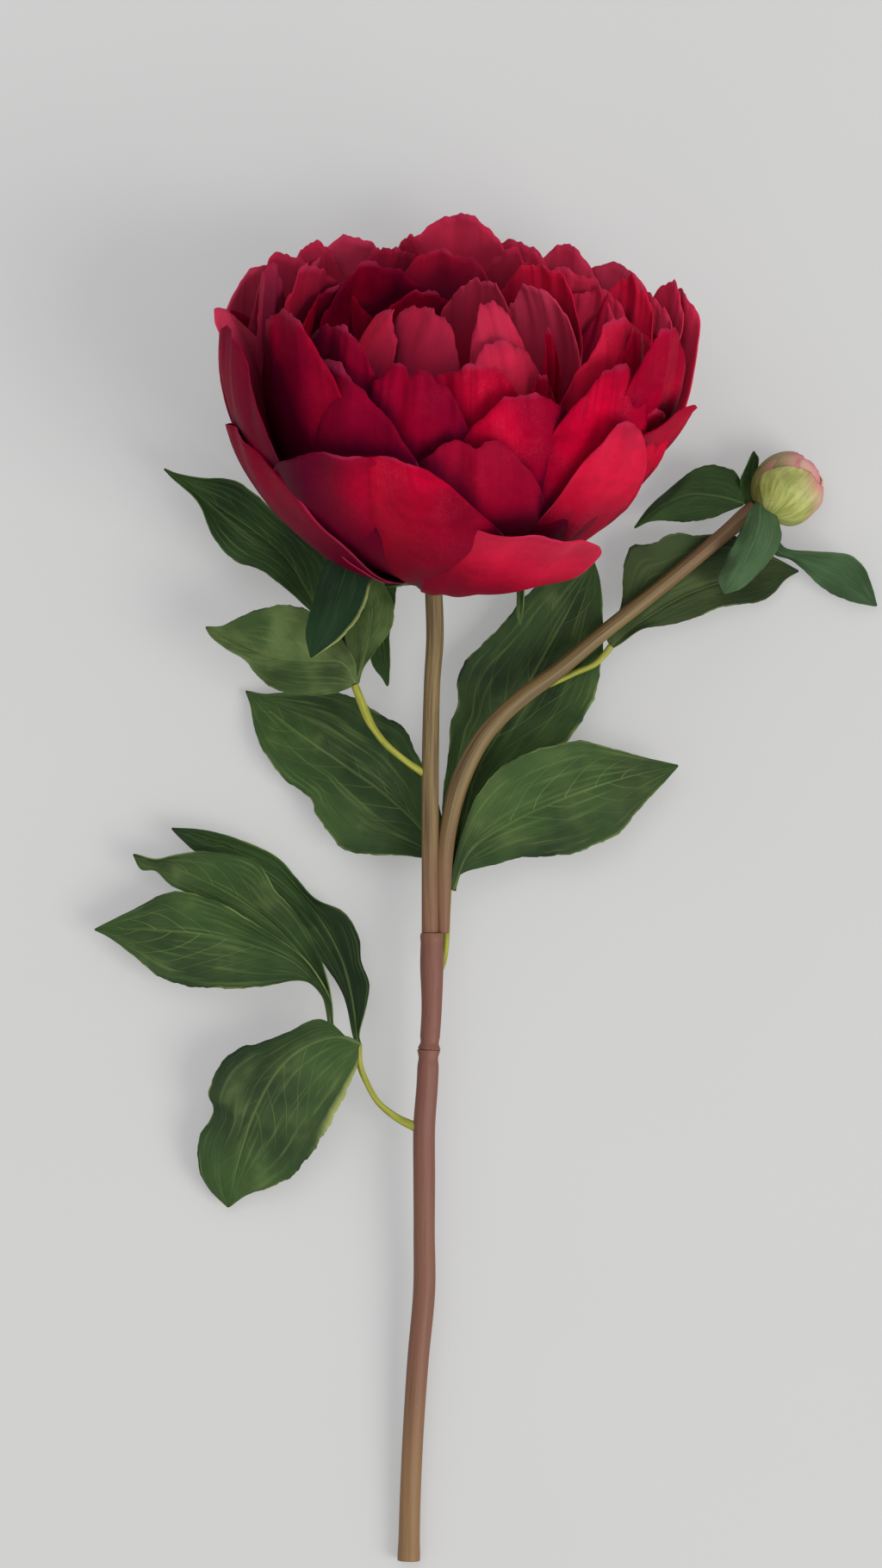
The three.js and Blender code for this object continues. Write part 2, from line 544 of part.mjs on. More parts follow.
function leafGrid(leaf, rows, cols, grow = 0) {
  const rib = evenPoints(leaf.rib, rows);
  const square = (from, to, reach) => {
    const run = Math.hypot(to[0] - from[0], to[1] - from[1]);
    return [((from[1] - to[1]) / run) * reach, ((to[0] - from[0]) / run) * reach];
  };
  const base = square(rib[0], rib[1], baseHalfWidth);
  const end = square(rib[rows - 1], rib[rows], tipHalfWidth);
  const first = leaf.rib[0];
  const last = leaf.rib.at(-1);
  const edges = [1, -1].map((hand, k) => [
    [first[0] + hand * base[0], first[1] + hand * base[1]],
    ...(k === 0 ? leaf.left : leaf.right),
    [last[0] + hand * end[0], last[1] + hand * end[1]],
  ]);
  const [left, right] = edges.map((edge) => evenPoints(edge, rows));
  return rib.map(([x, y, z], i) => {
    const s = i / rows;
    const swell = Math.sin(Math.PI * s) ** 0.8;
    return Array.from({ length: cols + 1 }, (_, j) => {
      const t = -1 + (2 * j) / cols;
      const reach = Math.abs(t);
      const edge = t < 0 ? left[i] : right[i];
      const spread = reach * (1 + grow / Math.hypot(edge[0] - x, edge[1] - y));
      const lift = leaf.lift[t < 0 ? 0 : 1];
      const wave = 1.2 * Math.sin(2 * Math.PI * (2.5 * s + (t < 0 ? 0.25 : 0))) * reach ** 1.5;
      return new THREE.Vector3(
        x + (edge[0] - x) * spread,
        y + (edge[1] - y) * spread,
        z + (lift * reach ** 1.3 + wave) * swell,
      );
    });
  });
}

// A leaf's blade with the thick start of its midrib. A grown one is a neighbour's clearance.
function leafSolid(names, grow = 0) {
  const blades = [names].flat().flatMap((name) => {
    const leaf = leaves[name];
    const rows = leaf.left.length > 6 ? 7 : 5;
    const blade = sheetSolid(leafGrid(leaf, rows, 4, grow), leafThickness + 2 * grow);
    const stalk = evenPoints(leaf.rib, 6)
      .slice(0, 2)
      .map(([x, y, z], i) => [x, y, z, 1.1 - 0.3 * i]);
    return [blade, barSolid(stalk, { grow, steps: 1, sides: 6 })];
  });
  return fuse(blades);
}

// Stems and stalks: stations of [x, y, z, radius]
const stems = {
  lower: [[-8, -320.5, 0, stemEndRadius], [-7.5, -300, 0, 3.4], [-6.5, -278, 0, 3.4], [-5, -255.5, 0, 3.5],
    [-3, -233, 0, 3.6], [-3, -213.5, 0, 3.5], [-3, -196.5, 0, 3.6], [-3, -180, 0, 3.6],
    [-2, -166, 0, 3.5], [-1.5, -154.5, 0, 3.5]],
  sleeve: [[-1.3, -154.2, 0, 3.4], [-1, -150, 0, 3.3], [-0.5, -138, 0, 3.4], [-0.5, -126.5, 0, 3.8], [-0.5, -116.5, 0, 3.5]],
  upper: [[-1, -116.2, 0, 2.8], [-1, -93, 0, 2.8], [-1, -65, 0, 2.8], [-0.5, -37, 0, 2.7],
    [0.5, -20, 0, 2.9], [0, -2, 0, 2.8]],
  branch: [[3.2, -116.2, -1, 2.0], [3.6, -93, -1, 2.7], [5.5, -79, -2, 2.9], [9, -66.5, -3, 3.1],
    [15, -54.5, -4, 2.9], [22, -46, -5, 2.8], [30.5, -38.5, -7, 2.8], [40, -31.5, -9, 2.7],
    [55, -19, -12, 2.5], [72, -5.5, -15, 2.5], [89, 8.5, -18, 2.5], [105.5, 22.5, -20, 2.6]],
  lowerPetiole: [[-3, -181, 0, 1.8], [-5.5, -179.5, 0, 1.7], [-12, -176.5, -2, 1.3], [-18, -171.5, -3, 1.0],
    [-22, -164.5, -3, 1.0], [-24, -159, -3, 1.1], [-24.5, -152.5, -2, 1.3]],
  lowerSideStalk: [[-24, -159.5, -3, 1.0], [-28.5, -153.5, -4.5, 0.9], [-33.2, -146.6, -2.5, 1.0]],
  upperPetiole: [[-1, -65.5, 0, 1.4], [-3, -64.5, 0, 1.3], [-9, -60.5, 2, 1.1], [-15, -55.5, 3, 1.1],
    [-19, -50.5, 3, 1.1], [-21.5, -46, 3, 1.4], [-25.5, -36, 2, 1.3]],
  middlePetiole: [[1, -131, -2, 1.0], [3.3, -126, -3.5, 1.0], [4.2, -118, -5, 1.1], [4.5, -110, -6, 1.1],
    [5, -103, -5, 1.0]],
  branchPetiole: [[36, -35.5, -8, 1.0], [38, -35.5, -11, 1.0], [45.5, -32, -13, 1.0], [52.5, -29, -13, 1.0],
    [56.5, -25, -14, 1.1], [58, -23, -14, 1.1]],
};

const stemSteps = { lower: 14, sleeve: 6, upper: 8, branch: 18 };

function stemSolid(name, grow = 0) {
  const thick = name in stemSteps;
  const options = { grow, steps: stemSteps[name] ?? 8, sides: thick ? 10 : 6 };
  const main = barSolid(stems[name], options);
  if (name !== "lowerPetiole") return main;
  return fuse([main, barSolid(stems.lowerSideStalk, { ...options, steps: 4 })]);
}

// The bud: a globe wrapped by three petals, on a short axis at the end of the branch
const budSeat = new THREE.Vector3(107.5, 21.5, -20.5);
const budAxis = new THREE.Vector3(0.7, 0.7, -0.05).normalize();
const budLength = 25;
const budRadius = 10;
const budPetalDepth = 2.4; // how far a wrapping petal is sunk into the globe, with its thickness
const budRight = new THREE.Vector3(0, 0, 1).cross(budAxis).normalize().negate();
const budFront = new THREE.Vector3().crossVectors(budRight, budAxis).negate();

const budProfile = (share) => budRadius * Math.sqrt(Math.max(0, 1 - Math.abs(2 * share - 1) ** 2.3));

function budPoint(share, azimuth, radius) {
  const point = budSeat.clone().addScaledVector(budAxis, budLength * share);
  point.addScaledVector(budRight, radius * Math.cos(azimuth));
  return point.addScaledVector(budFront, radius * Math.sin(azimuth));
}

// Each wrapping petal: middle azimuth, half its spread, how high it reaches, and how far
// its tip stands off the globe.
const budPetals = [
  [90, 66, 0.9, 0.9],
  [-25, 66, 0.95, 0.5],
  [205, 64, 0.92, 0.6],
];

function budGlobe(grow = 0) {
  const shares = [0.02, 0.1, 0.22, 0.4, 0.6, 0.78, 0.9, 0.97];
  const stations = shares.map((share) => [...budPoint(share, 0, 0), budProfile(share)]);
  return barSolid(stations, { grow, steps: 6, sides: 10 });
}

function budSolid(grow = 0) {
  const wraps = budPetals.map(([middle, spread, reach, lift]) => {
    const grid = [0, 1, 2, 3].map((i) =>
      [-1, -0.35, 0.35, 1].map((t) => {
        const share = 0.06 + (reach - 0.06) * (i / 3) * (1 - 0.3 * t * t);
        const azimuth = (middle + spread * t * (0.55 + 0.45 * Math.sin((Math.PI * i) / 4))) * degrees;
        return budPoint(share, azimuth, budProfile(share) + lift * (i / 3) - budPetalDepth / 2);
      }),
    );
    return sheetSolid(grid, budPetalDepth + 2 * grow);
  });
  return fuse([budGlobe(grow), ...wraps]);
}

// Every piece, trimmed back from those it is seated against

const bloom = bloomSolid();
const near = (...names) => names.map((name) => stemSolid(name, seatGap));
const nearLeaf = (...names) => names.map((name) => leafSolid(name, seatGap));

const pieces = {
  bloom_petals: [bloom, "petal"],
  bloom_sepals: [sepalSolid(), "sepal"],
  stem_upper: [beside(stemSolid("upper"), sepalSolid(seatGap), ...near("sleeve")), "stem"],
  stem_sleeve: [beside(stemSolid("sleeve"), ...near("lower")), "sleeve"],
  stem_lower: [stemSolid("lower"), "lowerStem"],
  bud_branch: [beside(stemSolid("branch"), budSolid(seatGap), ...near("upper", "sleeve")), "stem"],
  bud_petals: [budSolid(), "bud"],
  petiole_lower: [beside(stemSolid("lowerPetiole"), ...near("lower")), "petiole"],
  petiole_upper: [beside(stemSolid("upperPetiole"), ...near("upper")), "petiole"],
  petiole_middle: [beside(stemSolid("middlePetiole"), ...near("upper", "sleeve", "branch")), "petiole"],
  petiole_branch: [beside(stemSolid("branchPetiole"), ...near("branch")), "petiole"],
  leaf_lower_lobed: [
    beside(leafSolid(["lowerLobe", "lowerSecondLobe"]), ...near("lowerPetiole")),
    "leaf",
  ],
  leaf_lower_back: [beside(leafSolid("lowerBack"), ...near("lowerPetiole")), "leaf"],
  leaf_lower_hanging: [
    beside(leafSolid("lowerHanging"), ...near("lowerPetiole"), ...nearLeaf("lowerBack")),
    "leaf",
  ],
  leaf_upper_far: [beside(leafSolid("upperFar"), ...near("upperPetiole")), "leaf"],
  leaf_upper_lobed: [
    beside(leafSolid(["upperNear", "upperRight"]), ...near("upperPetiole"), ...nearLeaf("upperFar")),
    "leaf",
  ],
  leaf_under_bloom: [beside(leafSolid("underBloom"), ...near("upper")), "leaf"],
  leaf_behind_stem: [beside(leafSolid("behindStem"), ...near("upper")), "leaf"],
  leaf_middle_left: [
    beside(leafSolid("middleLeft"), ...near("middlePetiole", "branch", "upper")),
    "leaf",
  ],
  leaf_middle_up: [
    beside(leafSolid("middleUp"), ...near("middlePetiole", "branch", "upper"), ...nearLeaf("middleLeft")),
    "leaf",
  ],
  leaf_middle_right: [
    beside(
      leafSolid("middleRight"),
      ...near("middlePetiole", "branch"),
      ...nearLeaf("middleLeft", "middleUp"),
    ),
    "leaf",
  ],
  leaf_branch: [beside(leafSolid("branch"), ...near("branchPetiole", "branch")), "leaf"],
  bract_left: [beside(leafSolid("bractLeft"), budSolid(seatGap), ...near("branch")), "bract"],
  bract_top: [
    beside(leafSolid("bractTop"), budSolid(seatGap), ...near("branch"), ...nearLeaf("bractLeft")),
    "bract",
  ],
  bract_front: [beside(leafSolid("bractFront"), budSolid(seatGap), ...near("branch")), "bract"],
  bract_right: [
    beside(leafSolid("bractRight"), budSolid(seatGap), ...near("branch"), ...nearLeaf("bractFront")),
    "bract",
  ],
};

const looks = {
  petal: { color: 0x8e0a22, roughness: 0.6, metalness: 0 },
  sepal: { color: 0x4c6636, roughness: 0.6, metalness: 0 },
  stem: { color: 0x8a6f4e, roughness: 0.55, metalness: 0 },
  sleeve: { color: 0x8a5a58, roughness: 0.5, metalness: 0 },
  lowerStem: { color: 0x94695a, roughness: 0.55, metalness: 0 },
  petiole: { color: 0x8c9438, roughness: 0.55, metalness: 0 },
  leaf: { color: 0x2c4a2c, roughness: 0.55, metalness: 0 },
  bract: { color: 0x35574a, roughness: 0.55, metalness: 0 },
  bud: { color: 0xa5ab62, roughness: 0.5, metalness: 0 },
};

function meshOf(name, solid, look) {
  const { numProp, vertProperties, triVerts } = solid.getMesh();
  const geometry = new THREE.BufferGeometry();
  geometry.setAttribute("position", new THREE.BufferAttribute(vertProperties, numProp));
  geometry.setIndex(new THREE.BufferAttribute(triVerts, 1));
  geometry.computeVertexNormals();
  const mesh = new THREE.Mesh(geometry, new THREE.MeshStandardMaterial(looks[look]));
  mesh.name = name;
  return mesh;
}

const spray = new THREE.Group();
for (const [name, [solid, look]] of Object.entries(pieces)) {
  spray.add(meshOf(name, solid, look));
}
spray.rotation.x = layAngle;
spray.position.set(-boxAcross, -boxAlong, seatHeight);

const group = new THREE.Group();
group.add(spray);

export default group;
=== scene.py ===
from math import acos, asin, cos, exp, pi, radians, sin, sqrt

import bpy
import numpy as np
from mathutils import Matrix, Vector
from mathutils.bvhtree import BVHTree


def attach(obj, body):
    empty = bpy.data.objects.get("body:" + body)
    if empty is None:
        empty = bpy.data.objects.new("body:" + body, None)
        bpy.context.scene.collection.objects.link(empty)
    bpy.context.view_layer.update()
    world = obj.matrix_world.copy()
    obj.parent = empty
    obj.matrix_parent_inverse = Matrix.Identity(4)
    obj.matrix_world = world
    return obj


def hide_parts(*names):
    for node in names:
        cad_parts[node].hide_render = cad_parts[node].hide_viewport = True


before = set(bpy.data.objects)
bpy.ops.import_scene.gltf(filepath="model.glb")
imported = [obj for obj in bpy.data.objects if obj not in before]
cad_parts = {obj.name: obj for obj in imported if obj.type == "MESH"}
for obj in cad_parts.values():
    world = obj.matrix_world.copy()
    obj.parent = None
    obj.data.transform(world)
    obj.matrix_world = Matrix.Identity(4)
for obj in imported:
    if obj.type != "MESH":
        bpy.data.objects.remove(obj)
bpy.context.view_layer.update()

# Driving values, in millimetres and degrees, the same as the solids are made from

SEAT_HEIGHT = 29.5
STEM_LENGTH = 320.5
STEM_END_RADIUS = 3.8
BLOOM_NOD = 30
BLOOM_LEAN = 4
BOX_ACROSS = 17.61
BOX_ALONG = -101.45
VIEW_DISTANCE = 2400
VIEW_ACROSS = 2.5
VIEW_ALONG = -68
PICTURE_HEIGHT = 509.6
MM = 0.001

PETAL_THICKNESS = 0.36
LEAF_THICKNESS = 0.42
BUD_THICKNESS = 0.45

# How finely the meshes are divided, along and across
PETAL_ROWS, PETAL_COLS = 34, 54
LEAF_ROWS, LEAF_COLS = 76, 32
BRACT_ROWS, BRACT_COLS = 48, 20
BUD_ROWS, BUD_COLS = 30, 40
STEM_SIDES = 28
STALK_SIDES = 16
RIB_SIDES = 10

LAY = asin((SEAT_HEIGHT - STEM_END_RADIUS) / STEM_LENGTH)


def lay(points):
    """From the bloom's own frame in millimetres to the row frame in metres."""
    points = np.asarray(points, float)
    u, v, w = points[..., 0], points[..., 1], points[..., 2]
    return np.stack(
        [
            u - BOX_ACROSS,
            v * cos(LAY) - w * sin(LAY) - BOX_ALONG,
            SEAT_HEIGHT + v * sin(LAY) + w * cos(LAY),
        ],
        -1,
    ) * MM


def chance(*numbers):
    """A fixed pseudo-random number from 0 to 1 for each set of whole numbers."""
    x = sum(n * k for n, k in zip(numbers, (12.9898, 78.233, 37.719, 4.581)))
    return (sin(x + 1.3) * 43758.5453) % 1.0


def smooth(x, start, end):
    """A smooth rise from 0 at start to 1 at end."""
    q = np.clip((np.asarray(x, float) - start) / (end - start), 0, 1)
    return q * q * (3 - 2 * q)


def curve(points, count):
    """Points of even spacing on a smooth curve through the given ones."""
    points = np.array(points, float)
    last = len(points) - 1
    q = np.linspace(0, last, 481)
    i = np.minimum(q.astype(int), last - 1)
    f = (q - i)[:, None]
    pad = np.vstack([2 * points[0] - points[1], points, 2 * points[-1] - points[-2]])
    a, b, c, d = pad[i], pad[i + 1], pad[i + 2], pad[i + 3]
    line = b + 0.5 * f * (c - a) + 0.5 * f**2 * (2 * a - 5 * b + 4 * c - d)
    line += 0.5 * f**3 * (3 * b - a - 3 * c + d)
    run = np.r_[0, np.cumsum(np.linalg.norm(np.diff(line, axis=0), axis=1))]
    want = np.linspace(0, run[-1], count + 1)
    return np.stack([np.interp(want, run, line[:, k]) for k in range(line.shape[1])], 1)


# Meshes


def corners(rows, cols):
    """The first corner of each cell in a grid of points, row by row."""
    i, j = np.meshgrid(np.arange(rows), np.arange(cols), indexing="ij")
    return (i * (cols + 1) + j).ravel()


def blade_shares(rows, cols):
    """A column of shares along a blade, and a row from -1 to 1 across it."""
    return np.linspace(0, 1, rows + 1)[:, None], np.linspace(-1, 1, cols + 1)[None, :]


def linked(name, data):
    """A new object in the scene."""
    made = bpy.data.objects.new(name, data)
    bpy.context.scene.collection.objects.link(made)
    return made


class Build:
    """Collects surfaces and turns them into one piece."""

    def __init__(self):
        self.points, self.faces, self.smooth, self.uv, self.tone = [], [], [], [], []
        self.count = 0

    def add(self, points, faces, uv, tone):
        self.points.append(np.asarray(points).reshape(-1, 3))
        self.faces += [tuple(self.count + k for k in face) for face in faces]
        self.smooth += [True] * len(faces)
        self.uv.append(np.asarray(uv, float).reshape(-1, 2))
        self.tone.append(np.broadcast_to(np.asarray(tone, float), (len(self.points[-1]), 4)))
        self.count += len(self.points[-1])

    def piece(self, name, skin, node):
        mesh = bpy.data.meshes.new(name)
        mesh.from_pydata(np.vstack(self.points).tolist(), [], self.faces)
        mesh.polygons.foreach_set("use_smooth", self.smooth)
        order = np.empty(len(mesh.loops), int)
        mesh.loops.foreach_get("vertex_index", order)
        layer = mesh.uv_layers.new(name="blade")
        layer.data.foreach_set("uv", np.vstack(self.uv)[order].ravel())
        tone = mesh.attributes.new("tone", "FLOAT_COLOR", "POINT")
        tone.data.foreach_set("color", np.vstack(self.tone).ravel())
        mesh.materials.append(skin)
        made = linked(name, mesh)
        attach(made, "root")
        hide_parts(node)


def normals(grid):
    out = np.cross(np.gradient(grid, axis=0), np.gradient(grid, axis=1))
    return out / np.maximum(np.linalg.norm(out, axis=-1, keepdims=True), 1e-9)


def sheet(build, grid, uv, thickness, tone, settle=None):
    """A thin closed blade round a grid of points. Tone's second value marks its back."""
    rows, cols = grid.shape[0] - 1, grid.shape[1] - 1
    out = normals(grid)
    front = grid + out * thickness / 2
    back = grid - out * thickness / 2
    if settle:
        front, back = settle(front, thickness), settle(back, 0)
    size = (rows + 1) * (cols + 1)
    a = corners(rows, cols)
    quads = np.stack([a, a + 1, a + cols + 2, a + cols + 1], 1)
    tone = np.broadcast_to(np.asarray(tone, float), (rows + 1, cols + 1, 4)).copy()
    tone_back = tone.copy()
    tone_back[..., 1] = 1
    faces = quads.tolist() + (quads[:, ::-1] + size).tolist()
    points = np.concatenate([lay(front).reshape(-1, 3), lay(back).reshape(-1, 3)])
    tones = np.concatenate([tone.reshape(-1, 4), tone_back.reshape(-1, 4)])
    uvs = np.concatenate([uv.reshape(-1, 2), uv.reshape(-1, 2)])
    start = build.count
    build.add(points, faces, uvs, tones)
    rim = list(range(cols))
    rim += [i * (cols + 1) + cols for i in range(rows)]
    rim += [rows * (cols + 1) + j for j in range(cols, 0, -1)]
    rim += [i * (cols + 1) for i in range(rows, 0, -1)]
    for m, n in zip(rim, rim[1:] + rim[:1]):
        build.faces.append((start + n, start + m, start + size + m, start + size + n))
    build.smooth += [False] * len(rim)


# The bloom

NOD = radians(BLOOM_NOD)
LEAN = radians(BLOOM_LEAN)
AXIS = np.array([cos(NOD) * sin(LEAN), cos(NOD) * cos(LEAN), sin(NOD)])
RIGHTWARD = np.array([cos(LEAN), -sin(LEAN), 0])
BACKWARD = np.array([sin(NOD) * sin(LEAN), sin(NOD) * cos(LEAN), -cos(NOD)])

# Where each tier of petals, and last the sepals, grows from the core: radius and height
TIERS = [(9, 1), (9, 6), (8, 12), (7, 18), (5, 24), (3, -3.6)]

# What a petal has if its row says nothing else. The near side is -1 and the far side 1
# Besides its shape a petal carries painted light: a pink sheen, its own painted shade, painted light and
# shade from one side to the other, and a painted highlight or shade spot
ORDINARY = dict(
    side=-1, tier=1, bow=0.25, cup=40, curl=0, notch=0, point=0, round=0.42, turn=12,
    twist=6, lean=0, skew=0, ruffle=1, phase=0, widest=0.62, dust=0.02, dark=0, glow=0, spot=0, spot_at=0,
)

RUFFLE_WAVES = 1.5  # how many times a rim sways from one side to the other
ROOT_WIDTH = 0.2  # share of a petal's width that it has where it grows from
# How ragged the rims are in each tier, and how much more so on the far side
RAGGED = (0.2, 0.42, 0.66, 0.6, 0.5, 0.3)
FAR_RAGGED = 1.3
# Waves of the rim: how many from the middle to the side, and their size as a share of the length
RIM_WAVES = ((1.1, 0.012), (2.3, 0.010), (4.7, 0.006), (8.9, 0.0035))
# Fine crimps below the rim: how many, their size in mm and the share along where they start
CRIMPS = ((3.1, 0.35, 0.6), (5.7, 0.18, 0.75), (10.3, 0.1, 0.86))

# Petals by their tips. Each ring starts with what its petals share, and each row gives where the tip is
# across and along, its reach from the axis, the petal's width, the columns below and what else differs.
COLUMNS = ("bow", "cup", "turn", "twist", "dust", "dark")


def place(shared, across, along, reach, width, *values):
    """A petal's values, with the azimuth and height that put its tip where it is seen."""
    p = {**ORDINARY, **shared, **dict(zip(COLUMNS, values)), **values[-1]}
    depth = azimuth = height = 0
    for _ in range(6):
        share = (VIEW_DISTANCE - depth) / VIEW_DISTANCE
        x = VIEW_ACROSS + (across - VIEW_ACROSS) * share
        y = VIEW_ALONG + (along - VIEW_ALONG) * share
        outward = x * cos(LEAN) - y * sin(LEAN)
        upward = x * sin(LEAN) + y * cos(LEAN)
        azimuth = acos(max(-1, min(1, outward / reach))) * p["side"]
        height = (upward - reach * sin(azimuth) * sin(NOD)) / cos(NOD)
        depth = height * AXIS[2] + reach * sin(azimuth) * BACKWARD[2]
    return dict(p, azimuth=azimuth, height=height, reach=reach, width=width)


petals = []


def ring(shared, rows):
    """Adds petals with some values in common."""
    petals.extend(place(shared, *row) for row in rows)


# the near side's outer tier
ring(dict(tier=0), [
    (-31, 39.5, 70, 52, 0.13, 46, 0, -16, 0.02, 0.95,
     dict(round=0.3, phase=1, lean=10, glow=0.8, spot=0.35, spot_at=0.45)),
    (-11.5, 37.5, 68, 60, 0.165, 44, 0, 12, 0.02, 0.32,
     dict(round=0.45, lean=-10, glow=-0.7, spot=0.5, spot_at=-0.5)),
    (36, 11.5, 74, 54, 0.16, 60, 10, 14, 0.28, 0, dict(curl=0.08, round=0.3, lean=7, widest=0.85)),
    (62.5, 50, 77, 32, 0.18, 46, 26, 0, 0.2, 0, dict(widest=0.7, ruffle=0.8, round=0.5, lean=-2)),
    (82.5, 55, 84, 46, 0.12, 60, 16, 0, 0.02, 0.5, dict(curl=0.05, point=0.08)),
    (-63.5, 46.5, 71, 54, 0.19, 46, 4, 0, 0.04, 0.85, dict(round=0.3)),
    (81.5, 92, 83, 46, 0.19, 50, 14, 0, 0.5, 0, dict(side=1)),
    (-67.5, 74.5, 72, 50, 0.17, 44, 0, 6, 0.02, 0.55, {}),
])
# its second tier
ring(dict(tier=1), [
    (13.5, 45.5, 60, 52, 0.26, 30, 12, 6, 0.05, 0.75,
     dict(notch=0.05, ruffle=1.3, phase=0.5, lean=-4, spot=0.3, spot_at=0.1)),
    (29, 59, 55, 54, 0.27, 36, 6, 6, 0.02, 0.68, dict(lean=-6, glow=-0.5, spot=0.5, spot_at=-0.3)),
    (59, 68, 67, 42, 0.26, 34, 34, 0, 0.02, 0.45, dict(round=0.5, lean=20, spot=0.3, spot_at=-0.2)),
    (-28.5, 66, 55, 60, 0.28, 38, 8, 6, 0.02, 0.85, dict(round=0.22, skew=-0.08)),
    (-45, 80, 60, 56, 0.28, 40, 14, 6, 0.02, 0.6, dict(curl=0.08, spot=-0.3)),
    (-65, 80, 74, 44, 0.24, 40, 0, 0, 0.06, 0.9, {}),
    (76, 80.5, 77, 32, 0.2, 34, 20, 0, 0.02, 0.5, {}),
    (72, 53.5, 75, 30, 0.18, 40, 24, 0, 0.02, 0.2, {}),
])
# its inner tiers
ring(dict(tier=2), [
    (-6.5, 69, 49, 50, 0.28, 28, 12, 6, 0.02, 0.9, dict(notch=0.04, ruffle=1.3, spot=0.3)),
    (37, 79.5, 36, 8, 0.2, 6, 30, 6, 0.02, 0, dict(tier=3)),
    (12.5, 68.5, 43, 54, 0.28, 28, 12, 6, 0.02, 0.42, dict(ruffle=1.4, phase=2, spot=0.3)),
    (59.5, 83, 59.5, 44, 0.26, 28, 34, 0, 0.12, 0, dict(round=0.5)),
    (65, 80.5, 64, 26, 0.24, 22, 30, 0, 0.02, 0, dict(point=0.08)),
])
# the small petals of the centre
ring(dict(tier=3), [
    (-30, 81, 50, 44, 0.22, 28, 14, 6, 0.02, 0.85, {}),
    (35, 65, 40, 14, 0.2, 10, 30, 6, 0.02, 0, {}),
    (21.5, 76, 30, 40, 0.26, 20, 6, 6, 0.35, 0, {}),
    (-1, 87, 12, 48, 0.3, 22, 0, 6, 0.3, 0.5, {}),
    (-13.5, 85.5, 20, 38, 0.3, 18, 8, 6, 0.3, 0.3, {}),
    (17.5, 89, 19.5, 24, 0.3, 20, 8, 6, 0.4, 0.2, dict(tier=4)),
    (31, 93.5, 32, 34, 0.28, 22, 12, -28, 0.8, 0, dict(side=1, round=0.5)),
    (15, 95.5, 24, 28, 0.2, 20, 12, 6, 0.5, 0, dict(tier=4, side=1, round=0.2, skew=-0.06)),
])
# the far side's outer rim
ring(dict(tier=0, side=1), [
    (62, 100.5, 74, 60, 0.22, 50, 12, 6, 0.7, 0, dict(ruffle=1.3)),
    (-57, 100.5, 70, 58, 0.22, 44, 12, 6, 1, 0, {}),
    (-68, 85.5, 72, 40, 0.17, 34, 12, 6, 0.8, 0, dict(curl=0.06, point=0.1)),
])
# its second ring
ring(dict(tier=1, side=1), [
    (78, 96, 80, 40, 0.22, 34, 12, 6, 0.4, 0, dict(point=0.06)),
    (71, 90.5, 72, 38, 0.22, 26, 12, -22, 0.45, 0, {}),
    (44.5, 107.5, 68, 50, 0.22, 34, 12, 6, 0.55, 0, dict(point=0.05, ruffle=1.2)),
    (27, 108.5, 66, 52, 0.22, 38, 12, 6, 0.5, 0, {}),
    (9.5, 117, 60, 54, 0.24, 34, 12, 6, 0.5, 0, dict(ruffle=1.2, round=0.4, spot=0.3)),
    (-7.5, 111, 57, 24, 0.22, 22, 12, 6, 0.3, 0, dict(point=0.08)),
    (-27.5, 110.5, 62, 56, 0.22, 34, 12, 6, 0.7, 0, dict(ruffle=1.4, point=0.04)),
    (-38.5, 109, 64, 36, 0.22, 24, 12, 6, 0.4, 0.1, dict(point=0.05)),
    (-48.5, 105.5, 64, 48, 0.22, 28, 12, 6, 0.45, 0.2, dict(point=0.05, ruffle=1.4)),
])
# its inner rings
ring(dict(tier=2, side=1), [
    (65, 98.5, 64, 34, 0.22, 22, 12, -20, 0.12, 0.15, dict(point=0.08)),
    (30, 106.5, 54, 40, 0.22, 26, 12, 6, 0.35, 0.2, dict(notch=0.05)),
    (-13.5, 106.5, 50, 38, 0.22, 24, 12, 6, 0.2, 0.4, {}),
    (-52, 103, 58, 34, 0.22, 20, 12, 6, 0.3, 0.9, dict(point=0.1)),
    (-40, 100, 50, 48, 0.22, 30, 12, 6, 0.2, 0.35, {}),
])
# and the ring at its heart
ring(dict(tier=3, side=1), [
    (-33, 93, 45, 42, 0.22, 28, 14, 6, 0.02, 0.4, {}),
    (-19, 101, 40, 52, 0.2, 28, 12, 6, 0.02, 0.65, {}),
    (-3, 92, 30, 40, 0.2, 26, 12, 6, 0.02, 0.3, {}),
    (5, 105, 40, 50, 0.2, 28, 12, 6, 0.12, 0.5, {}),
    (35.5, 101, 42, 42, 0.22, 26, 12, -8, 0.15, 0, {}),
    (44, 99, 52, 50, 0.22, 26, 12, -25, 0.35, 0, {}),
    (54, 94, 57, 44, 0.22, 28, 12, -22, 0.3, 0, dict(point=0.05)),
])

# The guard petals underneath, spaced by a rule, and a short one that closes the left side
GUARD = dict(ORDINARY, side=1, tier=0, cup=52, turn=0)
petals += [
    dict(
        GUARD, azimuth=radians(20 + 32 * i - (4 if i == 5 else 0)), reach=72 + 4 * (i in (1, 3)),
        height=78 + 4 * ((i * 7) % 3) - 8 * (i == 1), width=60, bow=0.19 + 0.07 * (0 < i < 5), phase=i,
    )
    for i in range(6)
]
petals.append(dict(GUARD, azimuth=radians(198), reach=46, height=40, width=44, bow=0.22, phase=6))


